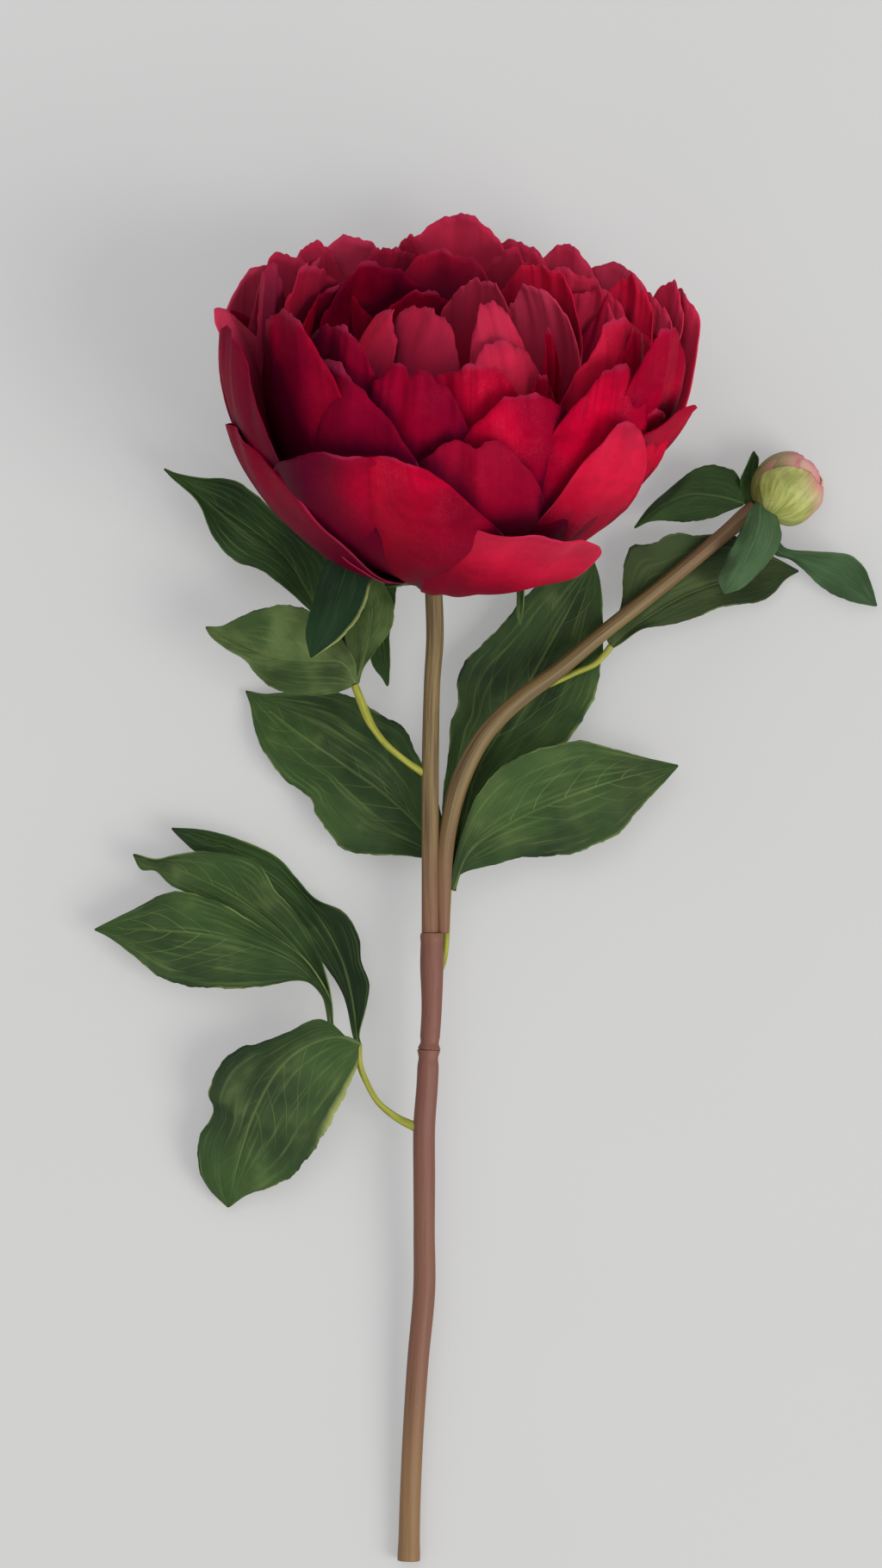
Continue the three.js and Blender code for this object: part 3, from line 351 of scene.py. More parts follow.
def petal_grid(p, rows, cols, seed):
    """A petal's middle surface, from root to rim, with its share along and across."""
    root, tip = np.array(TIERS[p["tier"]], float), np.array([p["reach"], p["height"]], float)
    chord = tip - root
    length = np.hypot(*chord)
    out = np.array([chord[1], -chord[0]]) / length
    tip = tip - 0.75 * p["curl"] * length * out
    chord = tip - root
    belly = p["bow"] * length
    knee = root + 0.3 * chord + 1.15 * belly * out
    hip = root + 0.75 * chord + 0.95 * belly * out
    share, t = blade_shares(rows, cols)
    rim = 1 - p["round"] * (1 - np.sqrt(1 - (0.97 * t) ** 2)) - p["point"] * np.sqrt(t**2 + 0.03)
    rim = rim - p["notch"] * np.exp(-((t / 0.16) ** 2)) + p["skew"] * t
    ragged = RAGGED[p["tier"]] * (FAR_RAGGED if p["side"] > 0 else 1)
    for k, (rate, size) in enumerate(RIM_WAVES):
        rim = rim + size * ragged * np.sin(2 * pi * (rate * t + chance(seed, k)))
    s = share * rim
    q = s[..., None]
    middle = (1 - q) ** 3 * root + 3 * q * (1 - q) ** 2 * knee + 3 * q**2 * (1 - q) * hip + q**3 * tip
    slope = (1 - q) ** 2 * (knee - root) + 2 * q * (1 - q) * (hip - knee) + q**2 * (tip - hip)
    slope = slope / np.linalg.norm(slope, axis=-1, keepdims=True)
    bulge = np.stack([slope[..., 1], -slope[..., 0]], -1)
    middle = middle + bulge * (p["curl"] * length * np.clip((s - 0.72) / 0.28, 0, 1) ** 2)[..., None]
    azimuth = p["azimuth"] - radians(p["lean"]) * (1 - s)
    radial = np.cos(azimuth)[..., None] * RIGHTWARD + np.sin(azimuth)[..., None] * BACKWARD
    around = -np.sin(azimuth)[..., None] * RIGHTWARD + np.cos(azimuth)[..., None] * BACKWARD
    normal = bulge[..., :1] * radial + bulge[..., 1:] * AXIS
    facing = radians(p["turn"] * cos(p["azimuth"]) * -p["side"] + p["twist"])
    turned = (facing * smooth(s, 0.1, 0.6))[..., None]
    sideways = np.cos(turned) * around + np.sin(turned) * normal
    outward = np.cos(turned) * normal - np.sin(turned) * around
    wide = np.sin(pi / 2 * np.clip(s / p["widest"], 0, 1)) ** 0.9
    narrow = np.clip((s - p["widest"]) / (1 - p["widest"]), 0, 1) ** 2
    half = p["width"] / 2 * (ROOT_WIDTH + (1 - ROOT_WIDTH) * wide) * (1 - 0.18 * narrow)
    hollow = p["cup"] * (0.35 + 0.65 * np.clip(s / 0.6, 0, 1))
    bend = t * half / hollow
    wave = 0.6 * p["ruffle"] * np.sin(2 * pi * RUFFLE_WAVES * t + p["phase"]) * smooth(share, 0.5, 1)
    wave = wave + 0.7 * p["ruffle"] * np.sin(3.4 * pi * s + 2 * p["phase"]) * np.abs(t) ** 3
    for k, (rate, size, start) in enumerate(CRIMPS):
        lilt = rate * t + chance(seed, 7 + k) + 0.25 * np.sin(5 * s + k)
        wave = wave + size * ragged * p["ruffle"] * np.sin(2 * pi * lilt) * smooth(share, start, 1)
    # long soft folds down the blade
    wave = wave + 0.3 * np.sin(2 * pi * (1.4 * t * (1.3 - 0.5 * s) + 0.5 * s + chance(seed, 11)))
    # the very edge rolls a little outward
    wave = wave + 0.8 * (chance(seed, 13) - 0.2) * smooth(share, 0.9, 1) ** 2
    points = middle[..., :1] * radial + middle[..., 1:] * AXIS
    points = points + (hollow * np.sin(bend))[..., None] * sideways
    points = points + (hollow * (np.cos(bend) - 1) + wave)[..., None] * outward
    uv = np.stack([s, np.broadcast_to(t, s.shape) * 0.5 + 0.5], -1)
    return points, uv


def rest_on_surface(points, floor):
    """Presses whatever would dip under the surface flat against it."""
    up = np.array([0, sin(LAY), cos(LAY)])
    height = SEAT_HEIGHT + points @ up
    return points + np.maximum(0, floor - height)[..., None] * up


# How deep each petal sits between its neighbours, which sets its painted shade

SKY_RAYS = 18
SKY_REACH = 70  # mm, beyond which nothing counts as in the way
SKY_CELLS = 12  # along and across each petal
SKY_STANDOFF = 0.9  # mm from the petal to where a ray starts


def sky_directions():
    """Directions spread over the half of the sky that the bloom is seen from."""
    k = np.arange(SKY_RAYS)
    up = 1 - 0.9 * (k + 0.5) / SKY_RAYS
    turn = pi * (3 - sqrt(5)) * k
    out = np.sqrt(1 - up**2)
    return [Vector(d) for d in np.stack([out * np.cos(turn), out * np.sin(turn), up], 1)]


def open_sky(petals):
    """For each petal, a coarse grid of the share of the sky that its points see."""
    grids = [petal_grid(p, SKY_CELLS, SKY_CELLS, k)[0] for k, p in enumerate(petals)]
    points = np.vstack([grid.reshape(-1, 3) for grid in grids])
    side = SKY_CELLS + 1
    a = corners(SKY_CELLS, SKY_CELLS)
    faces = [(m, m + 1, m + side + 1, m + side) for k in range(len(grids)) for m in a + k * side * side]
    tree = BVHTree.FromPolygons(points.tolist(), [tuple(map(int, face)) for face in faces])
    directions = sky_directions()
    shares = []
    for grid in grids:
        facing = normals(grid)
        facing = facing * np.where(facing[..., 2:] < 0, -1, 1)
        share = np.zeros((side, side))
        for i in range(side):
            for j in range(side):
                start = Vector(grid[i, j] + facing[i, j] * SKY_STANDOFF)
                seen = Vector(facing[i, j])
                rays = [d for d in directions if d.dot(seen) > 0]
                free = [d for d in rays if tree.ray_cast(start, d, SKY_REACH)[0] is None]
                share[i, j] = sum(d.dot(seen) for d in free) / sum(d.dot(seen) for d in rays)
        shares.append(share)
    return shares


def finer(share, rows, cols):
    """A coarse grid of values drawn out to a finer one."""
    i = np.linspace(0, share.shape[0] - 1, rows + 1)
    j = np.linspace(0, share.shape[1] - 1, cols + 1)
    rowwise = np.array([np.interp(j, np.arange(share.shape[1]), row) for row in share])
    return np.array([np.interp(i, np.arange(share.shape[0]), column) for column in rowwise.T]).T


# Shader maths on sockets


class Value:
    """A shader value that can be added, multiplied and so on."""

    tree = None

    def __init__(self, socket):
        self.socket = socket

    @classmethod
    def node(cls, kind, *inputs, output=0, **settings):
        made = cls.tree.nodes.new(kind)
        for key, setting in settings.items():
            setattr(made, key, setting)
        for k, value in enumerate(inputs):
            if value is not None:
                cls.join(made.inputs[k], value)
        return cls(made.outputs[output])

    @classmethod
    def join(cls, target, value):
        if isinstance(value, Value):
            cls.tree.links.new(value.socket, target)
        else:
            target.default_value = value

    def maths(self, operation, *others):
        return Value.node("ShaderNodeMath", self, *others, operation=operation)

    def __add__(self, other):
        return self.maths("ADD", other)

    __radd__ = __add__

    def __sub__(self, other):
        return self.maths("SUBTRACT", other)

    def __rsub__(self, other):
        return (self * -1) + other

    def __mul__(self, other):
        return self.maths("MULTIPLY", other)

    __rmul__ = __mul__

    def size(self):
        return self.maths("ABSOLUTE")

    def wave(self):
        return (self * (2 * pi)).maths("SINE")

    def share(self):
        return self.maths("FRACT")

    def step(self, start, end):
        """A smooth rise from 0 at start to 1 at end."""
        return Value.node(
            "ShaderNodeMapRange", self, start, end, 0.0, 1.0, interpolation_type="SMOOTHSTEP"
        )


def mix(factor, a, b):
    """A colour between two, which are other values or linear red, green and blue."""
    a, b = (colour if isinstance(colour, Value) else (*colour, 1) for colour in (a, b))
    return Value.node("ShaderNodeMix", factor, *[None] * 5, a, b, output=2, data_type="RGBA")


def place_coords():
    """A point's place in the part's own frame, in metres."""
    return Value.node("ShaderNodeTexCoord", output=3)


def noise(at, scale, detail=3.0, rough=0.5):
    return Value.node("ShaderNodeTexNoise", at, None, scale, detail, rough)


def blade_coords():
    """Share along and across a blade, as two values."""
    parts = Value.node("ShaderNodeSeparateXYZ", Value.node("ShaderNodeUVMap", uv_map="blade"))
    return [Value(output) for output in parts.socket.node.outputs[:2]]


def tone_parts():
    """The four values that a piece's points carry."""
    tone = Value.node("ShaderNodeAttribute", attribute_name="tone")
    parts = Value.node("ShaderNodeSeparateColor", tone).socket.node
    return [Value(output) for output in (*parts.outputs, tone.socket.node.outputs["Alpha"])]


def vector(x, y, z=0.0):
    return Value.node("ShaderNodeCombineXYZ", x, y, z)


def material(name, specular=0.4):
    """A new material and its shader. The functions below wire up the rest."""
    made = bpy.data.materials.new(name)
    made.use_nodes = True
    Value.tree = made.node_tree
    shader = made.node_tree.nodes["Principled BSDF"]
    shader.inputs["Specular IOR Level"].default_value = specular
    return made, shader


def rgb(r, g, b):
    """A colour given as 0 to 255 screen values."""
    return tuple((c / 255 / 12.92) if c <= 10 else ((c / 255 + 0.055) / 1.055) ** 2.4 for c in (r, g, b))


def paint(share, first, second, *coats):
    """A colour between two, with coats of others over it. All are given as 0 to 255 screen values."""
    colour = mix(share, rgb(*first), rgb(*second))
    for strength, coat in coats:
        colour = mix(strength, colour, rgb(*coat))
    return colour


def finish(shader, colour, rough, height, depth, strength=0.7):
    """Joins colour, roughness and a height pattern, whose depth is given in metres."""
    Value.join(shader.inputs["Base Color"], colour)
    Value.join(shader.inputs["Roughness"], rough)
    bump = Value.tree.nodes.new("ShaderNodeBump")
    for name, value in (("Distance", depth), ("Strength", strength), ("Height", height)):
        Value.join(bump.inputs[name], value)
    Value.join(shader.inputs["Normal"], Value(bump.outputs[0]))


def petal_material():
    """Deep red cloth, with painted shade towards the root and a painted pink sheen towards the rim; the
    tone carries more painted shade and light.
    """
    made, shader = material("petal_cloth", specular=0.5)
    shader.inputs["Specular Tint"].default_value = (1.0, 0.16, 0.3, 1)
    shader.inputs["IOR"].default_value = 1.12
    along, across = blade_coords()
    dust, _, dark, own = tone_parts()
    at = place_coords()
    broad = noise(at, 38, 2)
    weave = (across * 170).wave() * (along * 260).wave()
    folds = noise(vector(along * 1.3, across * 4, own * 9), 1.0, 2, 0.5)
    fibres = noise(vector(along * 5, across * 90, own * 9), 1.0, 2, 0.5)
    pleats = noise(vector(along * 1.6, across * 30, own * 5), 1.0, 2, 0.5) * along.step(0.55, 0.95)
    grain = noise(at, 1300, 2, 0.6)
    mottle = noise(at, 75, 5, 0.62)
    rim = ((across - 0.5) * 2).size().step(0.95, 1.0).maths("MAXIMUM", along.step(0.975, 1.0))
    # veil: a painted pink sheen towards the rim, which also lifts petals that lie in shade as painted
    # light
    veil = dust * (along.step(0.5, 1.0) * 0.85 + 0.06) * (folds * 0.3 + 0.85)
    colour = paint(
        broad.step(0.3, 0.7), (198, 0, 44), (150, 0, 32),
        (folds.step(0.45, 0.75) * 0.25, (220, 10, 54)),
        (fibres.step(0.5, 0.8) * 0.07, (222, 50, 84)),
        # painted highlight: a mottled, grainy satin sheen
        (mottle.step(0.46, 0.68) * grain.step(0.3, 0.7) * 0.22, (236, 52, 84)),
        (mottle.step(0.5, 0.34) * 0.3, (104, 0, 22)),
        # painted shade towards the root, where the petals tuck behind each other
        (along.step(0.95, 0.3) * 0.75, (80, 0, 26)),
        # painted shade and light carried by the tone
        (dark, (70, 0, 28)),
        (pleats.step(0.5, 0.7) * 0.3, (92, 0, 30)),
        # the painted pink sheen towards the rim
        (veil, (206, 66, 98)),
        (along.step(0.93, 1.0) * 0.3 * (folds + 0.3), (120, 14, 42)),
        (rim * (0.15 + mottle * 0.45), (170, 50, 84)),
    )
    height = weave * 0.03 + fibres * 0.12 + folds * 0.35 + pleats * 0.5 + mottle * 0.8 + grain * 0.1
    finish(shader, colour, 0.44 + folds * 0.1 + grain * 0.1, height, 0.0005)
    return made


# Side veins run forward by VEIN_LEAN of the way, the more so the further out, and the two sides' veins
# leave the midrib in turn
VEIN_LEAN = 0.75
VEIN_BEND = 0.45
VEIN_OFFSET = 0.25


def vein_lines(along, across, count, drift):
    """How near a point is to the side veins that leave the midrib, from 0 to 1."""
    side = (across - 0.5) * 2
    off = side.size()
    offset = side.maths("SIGN") * VEIN_OFFSET
    run = along - (off * VEIN_BEND + off * off * (1 - VEIN_BEND)) * VEIN_LEAN * (1.2 - along)
    near = ((run * count + offset + drift).share() - 0.5).size()
    return near.step(0.055, 0.0) * (1 - off.step(0.5, 0.9)) * along.step(0.02, 0.12), off


def leaf_material(name, deep, mid, pale, under, veins, clear):
    """Green cloth with side veins. Tone: how pale, back, a straw-coloured strip, own number."""
    made, shader = material(name)
    shader.inputs["IOR"].default_value = 1.32
    along, across = blade_coords()
    tint, back, strip, own = tone_parts()
    at = place_coords()
    drift = noise(at, 24, 2)
    lines, off = vein_lines(along, across, veins, drift * 1.8 + own)
    midrib = off.step(0.035, 0.008)
    broad = noise(at, 30, 3)
    cloud = noise(at, 75, 2)
    fine = noise(at, 900, 2)
    streaks = noise(vector(along * 3.5 - off * 1.6, across * 26, own * 9), 1.0, 3, 0.55)
    colour = paint(
        broad.step(0.32, 0.68), deep, mid,
        (streaks.step(0.5, 0.75) * 0.3, pale),
        (streaks.step(0.42, 0.25) * 0.35, deep),
        (tint * (cloud.step(0.35, 0.7) * 0.8 + 0.2), pale),
        (cloud.step(0.62, 0.8) * 0.2, pale),
        (lines * (drift.step(0.4, 0.65) * 0.4 + 0.04) * clear, pale),
        (midrib * 0.35 * clear, pale),
        (off.step(0.955, 0.99) * cloud.step(0.42, 0.6) * 0.6, pale),
        (back * 0.65, under),
        (strip, (150, 156, 92)),
    )
    weave = (across * 300).wave() * (along * 420).wave()
    height = lines * -0.5 * clear + fine * 0.2 + weave * 0.06 + cloud * 1.2 + streaks * 0.7 - midrib * 0.8
    finish(shader, colour, 0.42 + fine * 0.12 + broad * 0.12, height, 0.0004, 0.8)
    return made


def stem_material():
    """Olive tan by the bloom, red brown from the sleeve down, tan again at the foot."""
    made, shader = material("stem_skin")
    along, across = blade_coords()
    warm, pink, foot, own = tone_parts()
    at = place_coords()
    grain = noise(vector(along * 5, across * 22, own * 7), 1.0, 3, 0.5)
    blot = noise(at, 90, 3)
    speck = noise(at, 1400, 1)
    groove = grain.step(0.42, 0.2) * 0.6
    colour = paint(
        grain.step(0.3, 0.7), (84, 66, 36), (118, 98, 58),
        (warm * (0.6 + grain * 0.4), (112, 74, 54)),
        (pink * (0.7 + blot * 0.3), (106, 62, 52)),
        (foot * (0.6 + blot * 0.4), (122, 92, 56)),
        (groove, (70, 46, 30)),
        (speck.step(0.66, 0.8) * 0.1, (180, 160, 116)),
    )
    finish(shader, colour, 0.48 + grain * 0.16, grain * 0.8 + speck * 0.12, 0.0003, 0.8)
    return made


def stalk_material():
    """Yellow green, with faint lengthwise streaks."""
    made, shader = material("stalk_skin")
    along, across = blade_coords()
    at = place_coords()
    grain = noise(vector(along * 4, across * 18), 1.0, 3)
    colour = paint(
        grain.step(0.3, 0.7), (118, 122, 34), (156, 156, 52),
        (noise(at, 160, 2).step(0.5, 0.75) * 0.4, (104, 112, 44)),
    )
    finish(shader, colour, 0.45 + grain * 0.15, grain, 0.0002)
    return made


def bud_material():
    """Yellow green, flushed pink on one side. Tone: how flushed, back, how olive, how pale."""
    made, shader = material("bud_petal")
    shader.inputs["IOR"].default_value = 1.35
    along, across = blade_coords()
    flush, _, olive, pale = tone_parts()
    at = place_coords()
    streaks = noise(vector(along * 2.2, across * 20, olive * 8 + pale), 1.0, 4, 0.55)
    blot = noise(at, 160, 2)
    edge = (across * -1 + 1).step(0.55, 1.0) * along.step(0.3, 0.7)
    tip = along.step(0.75, 1.0) * (across * -1 + 1).step(0.15, 0.6)
    pink = edge.maths("MAXIMUM", tip) * flush
    blush = flush * (across * -1 + 1).step(0.25, 0.75) * along.step(0.5, 0.85)
    colour = paint(
        streaks.step(0.3, 0.75), (118, 128, 56), (168, 170, 98),
        (along.step(0.3, 0.9) * 0.35, (132, 130, 84)),
        (blot.step(0.5, 0.75) * 0.25, (204, 204, 132)),
        (olive, (104, 98, 50)),
        (pale, (214, 178, 162)),
        (blush * 0.5, (222, 176, 166)),
        (pink * (0.35 + streaks * 0.65), (186, 66, 104)),
    )
    finish(shader, colour, 0.4 + streaks * 0.15, streaks * 0.7 + blot * 0.5, 0.0004)
    return made


PETAL = petal_material()
# Deep, mid and pale green, the underside, the number of side veins and how clear they are
LEAF = leaf_material(
    "leaf_cloth", (16, 38, 14), (44, 70, 30), (118, 138, 78), (98, 116, 66), 9, 1)
DULL = leaf_material(
    "leaf_dull", (28, 44, 20), (50, 66, 34), (98, 112, 62), (92, 106, 64), 9, 0.5)
# a darker copy of the leaf cloth for the leaf under the bloom: painted shade
SHADED_LEAF = leaf_material(
    "leaf_painted_shade", (10, 34, 12), (22, 52, 24), (60, 84, 48), (60, 84, 48), 9, 0.4)
BRACT = leaf_material(
    "bract_cloth", (36, 60, 32), (60, 88, 54), (98, 124, 86), (84, 106, 72), 5, 0.25)
BRACT_LEFT = leaf_material(
    "bract_dark", (30, 52, 20), (50, 74, 34), (80, 100, 54), (84, 106, 62), 5, 0.3)
SEPAL = leaf_material(
    "sepal_cloth", (48, 70, 32), (70, 92, 44), (110, 128, 74), (96, 112, 66), 4, 1)
STEM = stem_material()
STALK = stalk_material()
BUD = bud_material()

# The bloom's pieces, one for each tier

SHADE = 0.7  # how much painted shade a petal gets where little of the sky is open to it
# A painted highlight on a petal, painted shade if its value is below 0: its share along, length and width
SPOT_ALONG, SPOT_LONG, SPOT_WIDE = 0.78, 0.2, 0.45


def bloom_piece(name, chosen):
    """One tier of petals. Tone's values: painted pink sheen, back, painted shade and light, and a number
    of the petal's own.
    """
    build = Build()
    for k, p in chosen:
        grid, uv = petal_grid(p, PETAL_ROWS, PETAL_COLS, k)
        tone = np.zeros((PETAL_ROWS + 1, PETAL_COLS + 1, 4))
        tone[..., 0] = p["dust"]
        shut = 1 - smooth(finer(sky[k], PETAL_ROWS, PETAL_COLS), 0.1, 0.8)
        across = uv[..., 1] * 2 - 1
        off_across = (across - p["spot_at"]) / SPOT_WIDE
        off_along = (uv[..., 0] - SPOT_ALONG) / SPOT_LONG
        spot = p["spot"] * np.exp(-(off_across**2) - off_along**2)
        # painted shade: the petal's darkness, light and shade painted across it, a painted highlight or
        # shade spot, and shade where little of the sky is open
        tone[..., 2] = np.clip(p["dark"] - p["glow"] * across / 2 - spot + SHADE * (shut - 0.2), 0, 1)
        tone[..., 3] = chance(k, 3)
        sheet(build, grid, uv, PETAL_THICKNESS, tone, rest_on_surface)
    build.piece(name, PETAL, "bloom_petals")


sky = open_sky(petals)
for tier, name in enumerate(("guard", "outer", "middle", "inner", "heart")):
    bloom_piece("petals_" + name, [(k, p) for k, p in enumerate(petals) if p["tier"] == tier])

# Bars: stems and stalks. Stations are across, along, up and the radius there

RIDGE_WIDTH = 0.22  # radians round the bar
# The cut ends: share of the radius that the inner ring has, and how far it and the middle stand out, in mm
END_RING, END_RISE, END_MIDDLE = 0.82, 0.25, 0.12


def bar(build, stations, steps, sides, ridges=0, depth=0.0, tone=(0, 0, 0, 0), bumps=()):
    """A closed round bar along stations of x, y, z and radius, with lengthwise ridges."""
    line = curve(stations, steps)
    centre = line[:, :3]
    ahead = np.gradient(centre, axis=0)
    ahead /= np.linalg.norm(ahead, axis=1, keepdims=True)
    up = np.array([0, 0, 1.0])
    rows = []
    turn = np.linspace(0, 2 * pi, sides + 1)
    run = np.linspace(0, 1, steps + 1)
    for i in range(steps + 1):
        side = np.cross(ahead[i], up)
        side /= np.linalg.norm(side)
        up = np.cross(side, ahead[i])
        radius = line[i, 3] * np.ones(sides + 1)
        for k in range(ridges):
            where = 2 * pi * (k + chance(k, 5)) / ridges + 0.5 * sin(5 * run[i] + k)
            gap = (turn - where + pi) % (2 * pi) - pi
            fade = 0.5 + 0.5 * sin(7 * run[i] + 2.1 * k)
            radius -= depth * np.exp(-((gap / RIDGE_WIDTH) ** 2)) * fade
        for at, size, width in bumps:
            radius += size * exp(-(((run[i] - at) / width) ** 2))
        ring = np.outer(radius * np.cos(turn), side) + np.outer(radius * np.sin(turn), up)
        rows.append(centre[i] + ring)
    grid = np.array(rows)
    a = corners(steps, sides)
    faces = np.stack([a, a + sides + 1, a + sides + 2, a + 1], 1).tolist()
    uv = np.stack(np.meshgrid(run, turn / (2 * pi), indexing="ij"), -1)
    if callable(tone):
        tone = tone(centre)[:, None, :].repeat(sides + 1, 1).reshape(-1, 4)
    build.add(lay(grid), faces, uv, tone)
    for end, way in ((0, -1), (steps, 1)):
        ring = grid[end, :-1]
        middle = ring.mean(0)
        inner = middle + (ring - middle) * END_RING + way * ahead[end] * END_RISE
        points = np.vstack([ring, inner, [middle + way * ahead[end] * END_MIDDLE]])
        faces = []
        for k in range(sides):
            m = (k + 1) % sides
            faces += [(k, m, sides + m, sides + k), (sides + k, sides + m, 2 * sides)]
        if end == 0:
            faces = [face[::-1] for face in faces]
        at = tone if np.ndim(tone) == 1 else tone[end * (sides + 1)]
        build.add(lay(points), faces, np.tile([run[end], 0.5], (len(points), 1)), at)


STEMS = dict(
    lower=[(-8, -320.3, 0.4, 3.5), (-7.5, -300, 0, 3.4), (-6.5, -278, 0, 3.4), (-5, -255.5, 0, 3.5),
        (-3, -233, 0, 3.6), (-3, -213.5, 0, 3.5), (-3, -196.5, 0, 3.6), (-3, -180, 0, 3.6),
        (-2, -166, 0, 3.5), (-1.5, -154.5, 0, 3.5)],
    sleeve=[(-1.3, -154.2, 0, 3.4), (-1, -150, 0, 3.3), (-0.5, -138, 0, 3.4), (-0.5, -126.5, 0, 3.8),
        (-0.5, -116.5, 0, 3.5)],
    upper=[(-1, -116.2, 0, 2.8), (-1, -93, 0, 2.8), (-1, -65, 0, 2.8), (-0.5, -37, 0, 2.7),
        (0.5, -20, 0, 2.9), (0, -2, 0, 2.8)],
    branch=[(3.2, -116.2, -1, 2.0), (3.6, -93, -1, 2.7), (5.5, -79, -2, 2.9), (9, -66.5, -3, 3.1),
        (15, -54.5, -4, 2.9), (22, -46, -5, 2.8), (30.5, -38.5, -7, 2.8), (40, -31.5, -9, 2.7),
        (55, -19, -12, 2.5), (72, -5.5, -15, 2.5), (89, 8.5, -18, 2.5), (105.5, 22.5, -20, 2.6)],
    lower_petiole=[(-3, -181, 0, 1.8), (-5.5, -179.5, 0, 1.7), (-12, -176.5, -2, 1.3),
        (-18, -171.5, -3, 1.0), (-22, -164.5, -3, 1.0), (-24, -159, -3, 1.1), (-24.5, -152.5, -2, 1.3)],
    lower_side_stalk=[(-24, -159.5, -3, 1.0), (-28.5, -153.5, -4.5, 0.9), (-33.2, -146.6, -2.5, 1.0)],
    upper_petiole=[(-1, -65.5, 0, 1.4), (-3, -64.5, 0, 1.3), (-9, -60.5, 2, 1.1), (-15, -55.5, 3, 1.1),
        (-19, -50.5, 3, 1.1), (-21.5, -46, 3, 1.4), (-25.5, -36, 2, 1.3)],
    middle_petiole=[(1, -131, -2, 1.0), (3.3, -126, -3.5, 1.0), (4.2, -118, -5, 1.1),
        (4.5, -110, -6, 1.1), (5, -103, -5, 1.0)],
    branch_petiole=[(36, -35.5, -8, 1.0), (38, -35.5, -11, 1.0), (45.5, -32, -13, 1.0),
        (52.5, -29, -13, 1.0), (56.5, -25, -14, 1.1), (58, -23, -14, 1.1)],
)


def stem_tone(centre):
    """How warm, pink and foot-coloured the stem is at each height."""
    y = centre[:, 1]
    warm = np.maximum(smooth(y, -70, -115), 0.55 * smooth(centre[:, 0], 60, 100))
    pink = smooth(y, -112, -122) * (1 - 0.45 * smooth(y, -170, -230))
    foot = smooth(y, -250, -300)
    return np.stack([warm, pink * (1 - foot), foot, np.zeros_like(y)], 1)


def stem_piece(name, node, slot, steps, **options):
    build = Build()
    bar(build, STEMS[name], steps, STEM_SIDES, tone=stem_tone, **options)
    build.piece("stem_" + name, STEM, node)


stem_piece("lower", "stem_lower", "lower_stem", 150, ridges=3, depth=0.35,
           bumps=((0.01, 0.2, 0.02), (0.985, -0.35, 0.01), (1.0, 0.3, 0.008)))
stem_piece("sleeve", "stem_sleeve", "sleeve", 70, ridges=2, depth=0.2,
           bumps=((0.0, 0.35, 0.03), (0.06, -0.3, 0.03), (0.97, 0.25, 0.03)))
stem_piece("upper", "stem_upper", "stem", 120, ridges=3, depth=0.35)
stem_piece("branch", "bud_branch", "stem", 170, ridges=3, depth=0.25,
           bumps=((0.98, 0.4, 0.03),))

for name in ("lower", "upper", "middle", "branch"):
    build = Build()
    for route in STEMS:
        if route.startswith(name + "_"):
            bar(build, STEMS[route], 48, STALK_SIDES, ridges=2, depth=0.2)
    build.piece("stalk_" + name, STALK, "petiole_" + name)

# Leaves: midrib, outline on either side as seen from above, lift of each side

LEAVES = {}
LEAVES["lower_lobe"] = dict(
    rib=[(-33.5, -146, -2), (-35, -138, -3), (-44, -127, -4), (-57, -121, -5), (-73.5, -117, -6),
        (-93, -115.5, -8), (-110.5, -115.5, -10)],
    left=[(-34.5, -143.5), (-36.5, -136.5), (-43, -132), (-57, -134), (-68, -134.5), (-82, -133.5),
        (-90.5, -130), (-99, -123), (-106, -118)],
    right=[(-33.5, -138), (-38.5, -129), (-44, -123), (-57, -114), (-71, -106), (-85, -103), (-96, -108),
        (-106, -113)],
    lift=(1, 4), tint=0.1,
)
LEAVES["lower_second_lobe"] = dict(
    rib=[(-33.5, -146, -2), (-36.5, -133.5, -4), (-44, -122.5, -6), (-54, -112.5, -8), (-68, -103, -9),
        (-83.5, -96, -9), (-98, -91, -11)],
    left=[(-35, -139), (-41.5, -129.5), (-51, -121), (-62.5, -112.5), (-73.5, -106), (-85, -101.5),
        (-90.5, -96.5), (-95.5, -96)],
    right=[(-33, -139), (-35, -129.5), (-39.5, -118.5), (-45.5, -109), (-52, -102), (-56, -95), (-61, -92),
        (-73.5, -90), (-83.5, -91), (-90.5, -92.5)],
    lift=(-2, 3), tint=0.12,
)
LEAVES["lower_back"] = dict(
    rib=[(-24.6, -152, -2.8), (-26.5, -138, -8), (-30.5, -124, -11), (-38.5, -110, -13), (-50, -97, -14),
        (-66.5, -89, -14), (-85.5, -82.5, -13)],
    left=[(-26.5, -149), (-29.5, -136.5), (-36, -126.5), (-45.5, -115.5), (-57, -105.5), (-68, -97),
        (-78, -90), (-82.5, -86)],
    right=[(-24, -149), (-21.5, -139), (-21, -132.5), (-23.5, -126), (-24.5, -117.5), (-29, -110),
        (-38.5, -105.5), (-45, -98.5), (-51, -92), (-62.5, -86.5), (-75, -83)],
    lift=(0, 2), tint=0,
)
LEAVES["lower_hanging"] = dict(
    rib=[(-24, -152.5, 0.4), (-32, -150, 5), (-43, -154, 6), (-51, -161.5, 5), (-57.5, -173, 3),
        (-62.5, -187, 0), (-67, -206, -8)],
    left=[(-25, -160), (-30, -171.5), (-35, -181), (-40, -188.5), (-46, -195.5), (-52.5, -199),
        (-61, -202)],
    right=[(-27.5, -151), (-33, -146), (-38.5, -144.5), (-47, -148.5), (-57, -152.5), (-62.5, -153.5),
        (-69.5, -159.5), (-73, -168), (-71.5, -174.5), (-76, -183), (-76.5, -192.5), (-73, -200)],
    lift=(-4, -5), tint=0.1, patches=[(0.5, 0.55, 0.1), (0.62, 0.3, 0.07)], strip=(-1, 0.03, 0.5),
)
